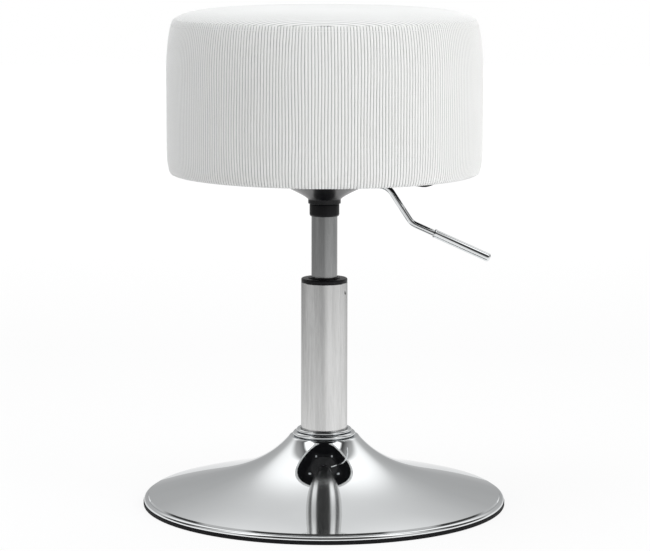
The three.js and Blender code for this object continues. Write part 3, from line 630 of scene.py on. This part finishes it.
def build_bell():
    """Black pressed bell, notched where the lever leaves."""
    low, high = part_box("plate_bell")
    pin_low, pin_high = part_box("lever_pin")
    socket_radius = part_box("taper_socket")[1].x
    sheet = 1.4 * MM
    flange_radius = high.y
    flange_level = high.z - sheet
    rim_radius = 66 * MM
    neck_radius = socket_radius + 1.7 * MM
    neck_level = low.z + 4.2 * MM
    rise = flange_level - neck_level
    curve = bezier([
        (rim_radius, flange_level),
        (neck_radius + (rim_radius - neck_radius) * 0.861, neck_level + rise * 0.966),
        (neck_radius, neck_level + rise * 0.166),
        (neck_radius, neck_level),
    ], 40)
    line = [(flange_radius, flange_level), *curve, (neck_radius, low.z)]
    outline = rounded(sheet_outline(line, sheet), 0.5 * MM)
    bell = turned_piece("black_bell", outline, "black_paint", "seat", ("plate_bell",), 192)
    notch_half = 6.5 * MM
    notch_start = socket_radius + sheet
    notch_bottom = (pin_low.z + pin_high.z) / 2 - 3.7 * MM
    notch_end = (flange_radius + MM, notch_half, high.z + MM)
    cut_away(bell, *box_body((notch_start, -notch_half, notch_bottom), notch_end))
    shade_smooth(bell.data)


# Lever

LEVER_RADIUS = 3.4 * MM
LEVER_BEND = 18 * MM
LEVER_OUTER_REACH = 43.2 * MM
LEVER_INNER_REACH = 28 * MM
LEVER_DROP_ANGLE = math.radians(56.9)
LEVER_DROP = 48.3 * MM
LEVER_HANDLE_ANGLE = math.radians(24.3)
LEVER_HANDLE = 92.5 * MM
GRIP_RADIUS = 4.8 * MM
GRIP_LENGTH = 66.2 * MM
GRIP_END = 2.4 * MM


def lever_corners():
    """Pivot, inner end, two bends and tip of the lever's centre line, and the handle's direction."""
    low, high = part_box("lever_pin")
    pivot = Vector(((low.x + high.x) / 2, 0, (low.z + high.z) / 2))
    down, along = (Vector((math.cos(a), 0, -math.sin(a))) for a in (LEVER_DROP_ANGLE, LEVER_HANDLE_ANGLE))
    inner = pivot - Vector((LEVER_INNER_REACH, 0, 0))
    first = pivot + Vector((LEVER_OUTER_REACH, 0, 0))
    second = first + down * LEVER_DROP
    tip = second + along * LEVER_HANDLE
    return pivot, inner, first, second, tip, along


def bent_line(corners, radius, steps=14, run=2.5 * MM):
    """Straight runs joined by true arcs, with points no further apart than about the run."""
    points = [corners[0]]
    for before, corner, after in zip(corners, corners[1:], corners[2:]):
        back = (before - corner).normalized()
        ahead = (after - corner).normalized()
        half = back.angle(ahead) / 2
        reach = radius / math.tan(half)
        centre = corner + (back + ahead).normalized() * radius / math.sin(half)
        start = corner + back * reach - centre
        end = corner + ahead * reach - centre
        turn_by = start.angle(end)
        for k in range(steps + 1):
            t = k / steps
            share = math.sin((1 - t) * turn_by), math.sin(t * turn_by)
            points.append(centre + (start * share[0] + end * share[1]) / math.sin(turn_by))
    points.append(corners[-1])
    filled = [points[0]]
    for point in points[1:]:
        start = filled[-1]
        count = max(1, int((point - start).length / run))
        filled += [start.lerp(point, (k + 1) / count) for k in range(count)]
    return filled


def swept(path, radius, sides, end_round):
    """A round bar along a line in the XZ plane, closed at both ends with rounded edges."""
    side = Vector((0, 1, 0))
    last = len(path) - 1
    along = [(path[min(i + 1, last)] - path[max(i - 1, 0)]).normalized() for i in range(last + 1)]
    rings = [(point, direction, radius) for point, direction in zip(path, along)]
    caps = 4
    for k in range(1, caps + 1):
        angle = k / caps * math.pi / 2
        inset = radius - end_round + end_round * math.cos(angle)
        out = end_round * math.sin(angle)
        rings.insert(0, (path[0] - along[0] * out, along[0], inset))
        rings.append((path[-1] + along[-1] * out, along[-1], inset))
    vertices = []
    for point, direction, size in rings:
        normal = side.cross(direction)
        for j in range(sides):
            angle = TURN * j / sides
            vertices.append(tuple(point + (side * math.cos(angle) + normal * math.sin(angle)) * size))
    faces = grid_faces(len(rings), sides, False, True)
    faces += [tuple(range(sides)), tuple(range(len(vertices) - sides, len(vertices)))]
    return vertices, faces


def build_lever_rod():
    """Bent chrome rod with a hole for its pin."""
    pivot, inner, first, second, tip, along = lever_corners()
    end_round = 0.8 * MM
    corners = [inner + Vector((end_round, 0, 0)), first, second, tip - along * (GRIP_END + MM)]
    bar = swept(bent_line(corners, LEVER_BEND), LEVER_RADIUS, 48, end_round)
    rod = piece("release_lever", *bar, "chrome", "lever", ("lever_rod",))
    pin_hole = 2.2 * MM
    reach = 2 * LEVER_RADIUS
    hole, hole_faces = cylinder(pin_hole, -reach, reach, 32)
    cut_away(rod, [(pivot.x + x, z, pivot.z + y) for x, y, z in hole], hole_faces)


def build_lever_sleeve():
    """Chrome sleeve on the handle, with a raised band at its mouth and a rounded tip."""
    *_, tip, along = lever_corners()
    bore = LEVER_RADIUS + 0.3 * MM
    radius = GRIP_RADIUS - 0.25 * MM
    mouth = 2 * MM
    mouth_end = 2.6 * MM
    straight_end = GRIP_LENGTH - 4.2 * MM
    tip_round = 2.6 * MM
    outline = [
        (0, GRIP_LENGTH - GRIP_END),
        (bore, GRIP_LENGTH - GRIP_END),
        (bore, 0),
        (GRIP_RADIUS, 0),
        (GRIP_RADIUS, mouth),
        (radius, mouth_end),
        (radius, straight_end),
        *arc((radius - tip_round, GRIP_LENGTH - tip_round), tip_round, 0, 90, 8),
        (0, GRIP_LENGTH),
    ]
    vertices, faces = turn(rounded(outline, 0.4 * MM), 64)
    aim = Vector((0, 0, 1)).rotation_difference(along).to_matrix()
    start = tip - along * GRIP_LENGTH
    placed = [tuple(aim @ Vector(v) + start) for v in vertices]
    piece("lever_sleeve", placed, faces, "chrome", "lever", ("lever_grip",), tidy=True)


# Seat: plate bolts, dust cover and staples


def build_plate_bolts():
    """Four flange bolts, head down."""
    head = 4 * MM
    flange = 1.2 * MM
    flange_rim = 0.5 * MM
    flange_foot = 5.2 * MM
    shank = 3 * MM
    point = 2.4 * MM
    point_length = 0.6 * MM
    across = 10 * MM
    for i in range(1, 5):
        low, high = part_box(f"plate_bolt_{i}")
        centre = (low + high) / 2
        seat = low.z + head
        outline = [
            (0, seat - flange),
            (flange_foot, seat - flange),
            (high.x - centre.x, seat - flange_rim),
            (high.x - centre.x, seat),
            (shank, seat),
            (shank, high.z - point_length),
            (point, high.z),
            (0, high.z),
        ]
        hexagon = hex_body(across, low.z, seat - flange / 2, both_ends=False)
        vertices, faces = merged(hexagon, turn(rounded(outline, 0.2 * MM), 48))
        placed = [(x + centre.x, y + centre.y, z) for x, y, z in vertices]
        piece(f"flange_bolt_{i}", placed, faces, "zinc", "seat", (f"plate_bolt_{i}",), tidy=True)


def smooth_noise(count, waves, rng):
    """A smooth ring of values from about -1 to 1, as a sum of a few random waves."""
    angles = np.linspace(0, TURN, count, endpoint=False)
    total = np.zeros(count)
    for wave in waves:
        total += np.cos(wave * angles + rng.uniform(0, TURN)) * rng.uniform(0.5, 1)
    return total / math.sqrt(len(waves))


def build_dust_cover():
    """Black cloth under the board, held by the plate and the staples, a little loose between them."""
    low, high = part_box("dust_cover")
    radius = high.x
    thickness = high.z - low.z
    held_radius = 120 * MM
    loose = 0.9 * MM
    rings = 36
    segments = 360
    crowding = 0.8
    fold_angle = math.radians(-45.9)
    fold_width = math.radians(5.4)
    fold_depth = 2.9 * MM
    ripple = smooth_noise(segments, (5, 9, 14, 23, 31), np.random.default_rng(SEED))
    vertices = []
    for side in (0, 1):
        for i in range(rings):
            r = radius * (i / (rings - 1)) ** crowding
            share = clamp((r - held_radius) / (radius - held_radius))
            belly = math.sin(math.pi * share)
            for j in range(segments):
                angle = TURN * j / segments
                away = math.remainder(angle - fold_angle, TURN) / fold_width
                sag = max(loose * belly * (1 + ripple[j]) / 2, 0)
                sag += fold_depth * share ** 1.5 * math.exp(-away * away)
                vertices.append(polar(r, angle, low.z + thickness * side - sag))
    below = grid_faces(rings, segments, False, True)
    above = shifted(flipped(below), rings * segments)
    edge = list(range((rings - 1) * segments, rings * segments))
    rim = band(edge, [v + rings * segments for v in edge])
    cover = piece("underside_cloth", vertices, below + above + rim, "dust_cloth", "seat", ("dust_cover",),
                  tidy=True)


def build_staples():
    """Wire staples along the edge of the dust cover."""
    low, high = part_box("dust_cover")
    count = 36
    wire = 0.35 * MM
    half = 5 * MM
    leg = 1.6 * MM
    slip = 0.012
    lean = 0.06
    ring_radius = high.x - 1.1 * MM
    level = low.z - wire * 0.6
    corners = [Vector((-half, 0, leg)), Vector((-half, 0, 0)), Vector((half, 0, 0)), Vector((half, 0, leg))]
    rng = random.Random(SEED)
    staples = []
    for i in range(count):
        angle = TURN * (i + 0.5) / count + rng.uniform(-slip, slip)
        tilt = rng.uniform(-lean, lean)
        vertices, faces = swept(bent_line(corners, 0.6 * MM, 4, 3 * MM), wire, 8, 0.1 * MM)
        place = Matrix.Translation(polar(ring_radius, angle, level))
        place = place @ Matrix.Rotation(angle + math.pi / 2 + tilt, 4, "Z")
        staples.append(([tuple(place @ Vector(v)) for v in vertices], faces))
    piece("hem_staples", *merged(*staples), "staple_wire", "seat")


# Seat: the corduroy cover. Wales run up the side panel and left to right over the top panel

WALE_COUNT = 316
WALE_DEPTH = 0.85 * MM
WALE_SAMPLES = (0.0, 0.09, 0.27, 0.5, 0.73, 0.91)
WALE_DRIFT = 0.55 * MM
FABRIC = 1.2 * MM
SEAM_RADIUS = 161.2 * MM
SEAM_RISE = 163.8 * MM
SEAM_GAP = 0.1 * MM
SEAM_PLACE = 4.6 * MM
STITCH_PLACE = SEAM_PLACE + 7.2 * MM
STITCH_DEPTH = 0.12 * MM
STITCH_WIDTH = 1.2 * MM
STITCH_SHADE = 0.12
THREAD_SINK = 0.35 * MM
PUCKER = 0.14 * MM
PUCKER_REACH = 5 * MM
PUCKER_WAVES = (61, 83, 107, 131, 149)
DRIFT_WAVES = (2, 3, 5, 8, 13, 21)
PLEAT = 1 * MM
PLEAT_WAVES = (29, 43, 57, 71)
PLEAT_START = 0.93
ROW_STARTS = (0, 2 * MM)
FIRST_ROW = 3.2 * MM
ROW_STEPS = ((18 * MM, 1.0 * MM), (60 * MM, 5 * MM), (144 * MM, 10 * MM), (186 * MM, 2.8 * MM))


def pile(share):
    """Height of the pile across one wale, 0 in the groove and 1 on the crest."""
    return np.sqrt(np.clip(1 - (2 * share - 1) ** 2, 0, 1))


def side_line():
    """Outside of the side panel from the seam down to the hem, as a smooth line."""
    low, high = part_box("seat_cover_side")
    base = low.z
    radius = high.x
    seam = base + SEAM_RISE
    shoulder = base + 110.4 * MM
    shoulder_rise = SEAM_RISE - 110.4 * MM
    corner_radius = 163.1 * MM
    corner_rise = 28 * MM
    hem = (148 * MM, base + 0.3 * MM)
    roll_radius = 1.2 * MM
    roll_centre = (SEAM_RADIUS - 1.1 * MM, seam - 1.0 * MM)
    tucked_edge = (SEAM_RADIUS - 2.3 * MM, seam - 4 * MM)
    side = bezier([
        (SEAM_RADIUS, seam),
        (radius - (radius - SEAM_RADIUS) * 0.27, shoulder + shoulder_rise * 0.83),
        (radius, shoulder + shoulder_rise * 0.235),
        (radius, shoulder),
    ], 60)
    corner = bezier([
        (radius, base + corner_rise),
        (radius, base + corner_rise * 0.38),
        (corner_radius + (radius - corner_radius) * 0.56, base),
        (corner_radius, base),
    ], 40)
    return [tucked_edge, *arc(roll_centre, roll_radius, 180, 62, 8), *side[2:], *corner, hem]


def resampled(line, steps):
    """The line again at the given distances along it, as arrays of radius, height and outward normal."""
    points = np.array(line)
    lengths = np.concatenate([[0], np.cumsum(np.hypot(*np.diff(points, axis=0).T))])
    places = np.array([s for s in steps if s < lengths[-1]] + [lengths[-1]])
    reach = 0.4 * MM

    def at(distances, axis):
        return np.interp(distances, lengths, points[:, axis])

    along_r, along_z = (at(places + reach, axis) - at(places - reach, axis) for axis in (0, 1))
    size = np.hypot(along_r, along_z)
    return places, at(places, 0), at(places, 1), -along_z / size, along_r / size


def row_places():
    """Distances from the tucked edge of the side panel at which it has a row of vertices."""
    places = list(ROW_STARTS)
    place = FIRST_ROW
    for limit, step in ROW_STEPS:
        while place < limit:
            places.append(place)
            place += step
    return places


def ribbed_side(places, radius, height, out_r, out_z):
    """Vertices of the side panel's outside, row by row, and the height of the pile at each, lower along the
    stitch, which paints shade into the colour.
    """
    rng = np.random.default_rng(SEED)
    sample = np.tile(WALE_SAMPLES, WALE_COUNT)
    wale = np.repeat(np.arange(WALE_COUNT), len(WALE_SAMPLES))
    crest = pile(sample)
    along = TURN * (wale + sample) / WALE_COUNT
    pucker = smooth_noise(len(sample), PUCKER_WAVES, rng)
    drift = [smooth_noise(len(sample), DRIFT_WAVES, rng) for _ in range(3)]
    pleat = smooth_noise(len(sample), PLEAT_WAVES, rng)
    vertices = []
    rib_shades = []
    for i, place in enumerate(places):
        share = place / places[-1]
        wave = sum(d * math.sin(math.pi * (k + 1) * share + k) for k, d in enumerate(drift))
        angle = along + wave * WALE_DRIFT / radius[i]
        full = clamp((place - 1.5 * MM) / (3 * MM))
        stitch = math.exp(-((place - STITCH_PLACE) / STITCH_WIDTH) ** 2)
        under = clamp((share - PLEAT_START) / (1 - PLEAT_START))
        inward = (1 - crest) * WALE_DEPTH * (0.35 + 0.65 * full)
        inward += PUCKER * (1 + pucker) * math.exp(-max(place - SEAM_PLACE, 0) / PUCKER_REACH)
        inward += STITCH_DEPTH * stitch
        inward -= PLEAT * pleat * under * (1 - under)
        r = radius[i] - out_r[i] * inward
        vertices += zip(r * np.sin(angle), -r * np.cos(angle), height[i] - out_z[i] * inward)
        # Painted shade: the colour darkens in the grooves and a little along the topstitch.
        rib_shades.append(crest * (1 - STITCH_SHADE * stitch))
    return vertices, np.array(rib_shades)


def build_side_panel():
    """The ribbed outside, a plainer lining behind it, and faces that close both edges."""
    places, radius, height, out_r, out_z = line = resampled(side_line(), row_places())
    outer, rib_shades = ribbed_side(*line)
    rows, columns = rib_shades.shape
    lining_rows = sorted({*range(0, rows, 3), rows - 1})
    depth = FABRIC + WALE_DEPTH * 0.4
    lining = []
    for i in lining_rows:
        r = radius[i] - out_r[i] * depth
        z = height[i] - out_z[i] * depth
        lining += [polar(r, TURN * (j / WALE_COUNT - 0.25), z) for j in range(WALE_COUNT)]
    start = len(outer)
    faces = grid_faces(rows, columns, False, True)
    faces += shifted(flipped(grid_faces(len(lining_rows), WALE_COUNT, False, True)), start)
    per_wale = len(WALE_SAMPLES)
    for outer_row, lining_row in ((0, 0), (rows - 1, len(lining_rows) - 1)):
        first = outer_row * columns
        below = start + lining_row * WALE_COUNT
        for j in range(WALE_COUNT):
            run = [first + (j * per_wale + k) % columns for k in range(per_wale + 1)]
            faces.append((*run, below + (j + 1) % WALE_COUNT, below + j))
    panel = piece("cover_side_panel", outer + lining, faces, "corduroy", "seat", ("seat_cover_side",),
                  sharp=180)
    add_attribute(panel, "rib_shade", np.concatenate([rib_shades.ravel(), np.ones(len(lining))]))
    stitch_radius, stitch_height = (np.interp(STITCH_PLACE, places, values) for values in (radius, height))
    build_topstitch(stitch_radius - THREAD_SINK, stitch_height)


def build_topstitch(radius, height):
    """One thread round the seat that dips under the cloth between stitches."""
    stitches = 300
    per_stitch = 6
    sides = 8
    thread = 0.3 * MM
    dip = 0.35 * MM
    rings = stitches * per_stitch
    vertices = []
    for i in range(rings):
        middle = radius + dip * math.cos(TURN * i / per_stitch)
        for j in range(sides):
            out, up = polar(thread, TURN * j / sides)
            vertices.append(polar(middle + out, TURN * i / rings, height + up))
    piece("seam_topstitch", vertices, grid_faces(rings, sides, True, True), "white_thread", "seat")


TOP_RADIUS = SEAM_RADIUS - SEAM_GAP
TOP_COLUMNS = 84
TOP_PER_WALE = 5
TOP_LAST_ROW = 0.9997
TOP_EDGE_WIDTH = 14 * MM
TOP_DRIFT = 0.45 * MM
TOP_TUCK = ((0.25 * MM, 0.5 * MM), (0.8 * MM, 1.4 * MM), (1.6 * MM, 4 * MM))
TOP_THICKNESS = 0.9 * MM
PUCKER_SAMPLES = 720


def ribbed_top(edge_level, top_level):
    """Vertices of the crowned disc, a row for each step across the wales, and the height of the pile, which
    paints shade into the colour.
    """
    crown = np.array(bezier([
        (0, top_level),
        (TOP_RADIUS * 0.56, top_level),
        (TOP_RADIUS * 0.895, edge_level + (top_level - edge_level) * 0.98),
        (TOP_RADIUS, edge_level),
    ], 200))
    side_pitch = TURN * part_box("seat_cover_side")[1].x / WALE_COUNT
    wales = int(round(2 * TOP_RADIUS / side_pitch))
    pitch = 2 * TOP_RADIUS / wales
    rng = np.random.default_rng(SEED + 1)
    phases = rng.uniform(0, TURN, 6)
    pucker = smooth_noise(PUCKER_SAMPLES, PUCKER_WAVES, rng)
    across = np.sin(np.linspace(-1, 1, TOP_COLUMNS) * math.pi / 2)
    last_row = TOP_LAST_ROW * TOP_RADIUS
    reach = 0.4 * MM
    tiny = 1e-6
    vertices = []
    rib_shades = []

    def level(r):
        return np.interp(r, crown[:, 0], crown[:, 1])

    for i in range(wales * TOP_PER_WALE + 1):
        y = min(max(-TOP_RADIUS + pitch * i / TOP_PER_WALE, -last_row), last_row)
        x = math.sqrt(TOP_RADIUS ** 2 - y ** 2) * across
        r = np.hypot(x, y)
        crest = pile((i % TOP_PER_WALE) / TOP_PER_WALE)
        bend = np.sin(x * 34 + phases[0]) + np.sin(x * 57 + y * 21 + phases[1])
        inner = np.clip((TOP_RADIUS - r) / TOP_EDGE_WIDTH, 0, 1)
        slope = (level(r + reach) - level(r - reach)) / (2 * reach)
        size = np.sqrt(1 + slope ** 2)
        around = (np.arctan2(y, x) / TURN * PUCKER_SAMPLES).astype(int) % PUCKER_SAMPLES
        inward = (1 - crest) * WALE_DEPTH * (0.5 + 0.5 * inner)
        inward += PUCKER * (1 + pucker[around]) * np.exp(-(TOP_RADIUS - r) / PUCKER_REACH)
        scale = 1 + inward * slope / size / np.maximum(r, tiny)
        vertices += zip(x * scale, y * scale + bend * TOP_DRIFT * inner, level(r) - inward / size)
        rib_shades += [crest] * TOP_COLUMNS
    return vertices, rib_shades


def build_top_panel():
    """Crowned disc of corduroy, its wales parallel to X, its edge tucked into the seam."""
    edge_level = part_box("seat_cover_side")[0].z + SEAM_RISE + SEAM_GAP
    points, rib_shades = ribbed_top(edge_level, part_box("seat_cover_top")[1].z)
    grid = np.arange(len(points)).reshape(-1, TOP_COLUMNS)
    faces = grid_faces(*grid.shape, False, False)
    rim = np.concatenate([grid[0], grid[1:, -1], grid[-1, -2::-1], grid[-2:0:-1, 0]]).tolist()
    previous = rim
    for inset, sink in TOP_TUCK:
        current = list(range(len(points), len(points) + len(rim)))
        for v in rim:
            x, y, _ = points[v]
            scale = (TOP_RADIUS - inset) / math.hypot(x, y)
            points.append((x * scale, y * scale, edge_level - sink))
            rib_shades.append(rib_shades[v])
        faces += band(previous, current)
        previous = current
    panel = piece("cover_top_panel", points, faces, "corduroy", "seat", ("seat_cover_top",), sharp=180)
    add_attribute(panel, "rib_shade", np.array(rib_shades))
    solid = panel.modifiers.new("thickness", "SOLIDIFY")
    solid.thickness = TOP_THICKNESS
    solid.offset = -1


def build_foam():
    fine_piece("foam_core", "foam_block", "foam", "seat", 4 * MM)
    fine_piece("foam_crown", "foam_dome", "foam", "seat", 3 * MM)


def build_seat():
    build_plate_bolts()
    build_dust_cover()
    build_staples()
    build_foam()
    build_side_panel()
    build_top_panel()


def dress_cad_nodes():
    """The CAD nodes that stay shown get the materials of their slots, and the plate a duller black."""
    slots = {row["node"]: row["material_slot"] for row in frame["record"]["subparts"]}
    slots["seat_plate"] = "plate_paint"
    for node, made in frame["nodes"].items():
        made.data.materials.clear()
        made.data.materials.append(materials[slots[node]])


# Studio: a white sweep, a grey backdrop, soft boxes behind and beside the stool, a dark room in front.
# Distances are from the stool's axis. Angles are in degrees, azimuths from +Y towards +X

FLOOR_RADIUS = 8
FLOOR_CORNERS = 64
FLOOR_GLOW = 0.855
FLOOR_FAR_GLOW = 0.97
FLOOR_FAR = (1.0, 4.0)
FLOOR_FRONT = -0.24
FLOOR_HALF_WIDTH = 0.36
FLOOR_WIDENING = 0.125
FLOOR_FADE = 0.16
FLOOR_DIM_SIDE = (0.58, 0.30)
FLOOR_DIM_REACH = (0.85, 1.4)
FLOOR_BRIGHT_SIDE = (0.74, 0.50)
FLOOR_BRIGHT_REACH = (1.1, 2.0)
FLOOR_SIDE_BLEND = (-0.1, 0.5)
ROOM = 0.05
CEILING = 1.0
CEILING_SIZE = (16, 30)
LOWEST = -0.12
BACK_LEVELS = ((-6, 0.68), (0, 0.60), (6, 0.48), (12, 0.46), (20, 0.46), (25, 0.50), (36, 0.64), (50, 0.74),
               (62, 0.88))
BACK_SIZE = (50, 66)
SWEEP_SIZE = (9, 16)
SWEEP_EDGE = (-0.03, 0.0)
SOFT_BOXES = ((44, 50, 0.42), (-44, 50, 0.38))
SOFT_BOX_SIZE = (6, 30)
SIDE_BOXES = ((116, 1.45), (-108, 1.45))
SIDE_BOX_SIZE = (11, 24)
SIDE_BOX_FOOT = 0.3
SIDE_BOX_RISE = (0.62, 0.72)
LAMP_TARGET = (0, 0, 0.35)
LAMPS = (
    ("right_softbox", (2.4, -1.4, 0.9), (1.4, 1.8), 20, (1, 1, 1)),
    ("front_softbox", (1.6, -2.4, 1.1), (1.4, 1.8), 22.5, (1, 1, 1)),
    ("top_softbox", (-0.6, -0.2, 2.7), (2.0, 2.0), 20, (0.94, 0.97, 1.0)),
    ("left_softbox", (-2.4, -1.2, 1.1), (1.4, 1.8), 10, (1, 1, 1)),
)


def background_mix(nodes):
    """1 for camera, glossy and transmission rays, which see the white studio."""
    path = nodes.add("LightPath").outputs
    seen = nodes.math("ADD", path["Is Camera Ray"], path["Is Glossy Ray"])
    return nodes.math("MINIMUM", nodes.math("ADD", seen, path["Is Transmission Ray"]), 1.0)


def floor_glow(nodes):
    """Light of the floor: full behind and under the stool, less towards the room round it."""
    place = nodes.place()
    x, y, _ = nodes.parts(place)
    away = nodes.vector("LENGTH", place)
    dim = nodes.range(away, *FLOOR_DIM_SIDE, FLOOR_DIM_REACH)
    bright = nodes.range(away, *FLOOR_BRIGHT_SIDE, FLOOR_BRIGHT_REACH)
    outside = nodes.between(dim, bright, nodes.range(x, 0, 1, FLOOR_SIDE_BLEND))
    edge = nodes.math("MULTIPLY_ADD", y, FLOOR_WIDENING, FLOOR_HALF_WIDTH)
    beside = nodes.math("SUBTRACT", nodes.math("ABSOLUTE", x), edge)
    before = nodes.math("SUBTRACT", FLOOR_FRONT, y)
    inside = nodes.range(nodes.math("MAXIMUM", beside, before), 1, 0, (0, FLOOR_FADE))
    return nodes.between(outside, nodes.range(y, FLOOR_GLOW, FLOOR_FAR_GLOW, FLOOR_FAR), inside)


def floor_material():
    """Lit as plain pale ground, but seen as its glow, with a darker surface that keeps the shadow."""
    nodes = new_material("pale_floor")
    grain = nodes.mix(nodes.noise(40), (0.80, 0.80, 0.80), (0.82, 0.82, 0.82))
    lit = nodes.add("BsdfDiffuse", {"Color": grain}).outputs[0]
    shadowed = nodes.add("BsdfDiffuse", {"Color": (0.14, 0.14, 0.14)}).outputs[0]
    glow = nodes.add("Emission", {"Strength": floor_glow(nodes)}).outputs[0]
    seen = nodes.add("AddShader", {0: shadowed, 1: glow}).outputs[0]
    return nodes.surface(nodes.add("MixShader", {"Fac": background_mix(nodes), 1: lit, 2: seen}).outputs[0])


def build_floor():
    mesh = bpy.data.meshes.new("floor")
    rim = [polar(FLOOR_RADIUS, TURN * i / FLOOR_CORNERS, 0) for i in range(FLOOR_CORNERS)]
    mesh.from_pydata(rim, [], [tuple(range(FLOOR_CORNERS))])
    mesh.materials.append(floor_material())
    add_object("floor", mesh)


def towards(azimuth, elevation=0):
    """Unit vector of a direction."""
    a = math.radians(azimuth)
    e = math.radians(elevation)
    return (math.sin(a) * math.cos(e), math.cos(a) * math.cos(e), math.sin(e))


def lobe(nodes, direction, centre, size, strength):
    """A patch of light round a centre that fades out between the two radii of its size."""
    inner, outer = (math.cos(math.radians(radius)) for radius in size)
    near = nodes.vector("DOT_PRODUCT", direction, centre)
    return nodes.range(near, 0, strength, (outer, inner), interpolation_type="SMOOTHSTEP")


def backdrop(nodes, height, horizontal):
    """Grey wall behind the stool, with its levels from low to high."""
    ramp = nodes.add("ValToRGB", {"Fac": nodes.range(height, 0, 1, (LOWEST, 1))})
    stops = ramp.color_ramp.elements
    for stop, (_, value) in zip(stops, (BACK_LEVELS[0], BACK_LEVELS[-1])):
        stop.color = (value, value, value, 1)
    for elevation, value in BACK_LEVELS:
        place = (math.sin(math.radians(elevation)) - LOWEST) / (1 - LOWEST)
        stops.new(place).color = (value, value, value, 1)
    return nodes.math("MULTIPLY", ramp.outputs["Color"], lobe(nodes, horizontal, towards(0), BACK_SIZE, 1))


def build_world():
    """The room, lit by direction alone."""
    world = bpy.data.worlds.new("studio")
    bpy.context.scene.world = world
    nodes = Nodes(world)
    direction = nodes.add("TexCoord").outputs["Generated"]
    height = nodes.parts(direction)["Z"]
    horizontal = nodes.vector("NORMALIZE", nodes.vector("MULTIPLY", direction, (1, 1, 0)))
    total = backdrop(nodes, height, horizontal)
    for azimuth, elevation, strength in SOFT_BOXES:
        box = lobe(nodes, direction, towards(azimuth, elevation), SOFT_BOX_SIZE, strength)
        total = nodes.math("ADD", total, box)
    raised = nodes.range(height, SIDE_BOX_FOOT, 1, SIDE_BOX_RISE)
    for azimuth, strength in SIDE_BOXES:
        box = lobe(nodes, horizontal, towards(azimuth), SIDE_BOX_SIZE, strength)
        total = nodes.math("ADD", total, nodes.math("MULTIPLY", box, raised))
    total = nodes.math("ADD", total, ROOM)
    total = nodes.math("MAXIMUM", total, lobe(nodes, direction, (0, 0, 1), CEILING_SIZE, CEILING))
    sweep = lobe(nodes, horizontal, towards(0), SWEEP_SIZE, 1)
    below = nodes.math("MULTIPLY", nodes.range(height, 1, 0, SWEEP_EDGE), sweep)
    colour = nodes.math("MAXIMUM", total, below)
    nodes.surface(nodes.add("Background", {"Color": colour}).outputs[0], "World")


def build_lamps():
    """Soft boxes that light the stool and aren't seen in its chrome."""
    for name, place, size, power, colour in LAMPS:
        data = bpy.data.lights.new(name, "AREA")
        data.shape = "RECTANGLE"
        data.size, data.size_y = size
        data.energy = power
        data.color = colour
        lamp = add_object(name, data)
        lamp.location = place
        lamp.visible_glossy = False
        lamp.rotation_euler = (Vector(LAMP_TARGET) - Vector(place)).to_track_quat("-Z", "Y").to_euler()


add_camera()
materials = build_materials()
build_base()
build_lift()
build_bell()
build_lever_rod()
build_lever_sleeve()
build_seat()
dress_cad_nodes()
build_floor()
build_world()
build_lamps()
bpy.context.scene.view_settings.view_transform = "Standard"
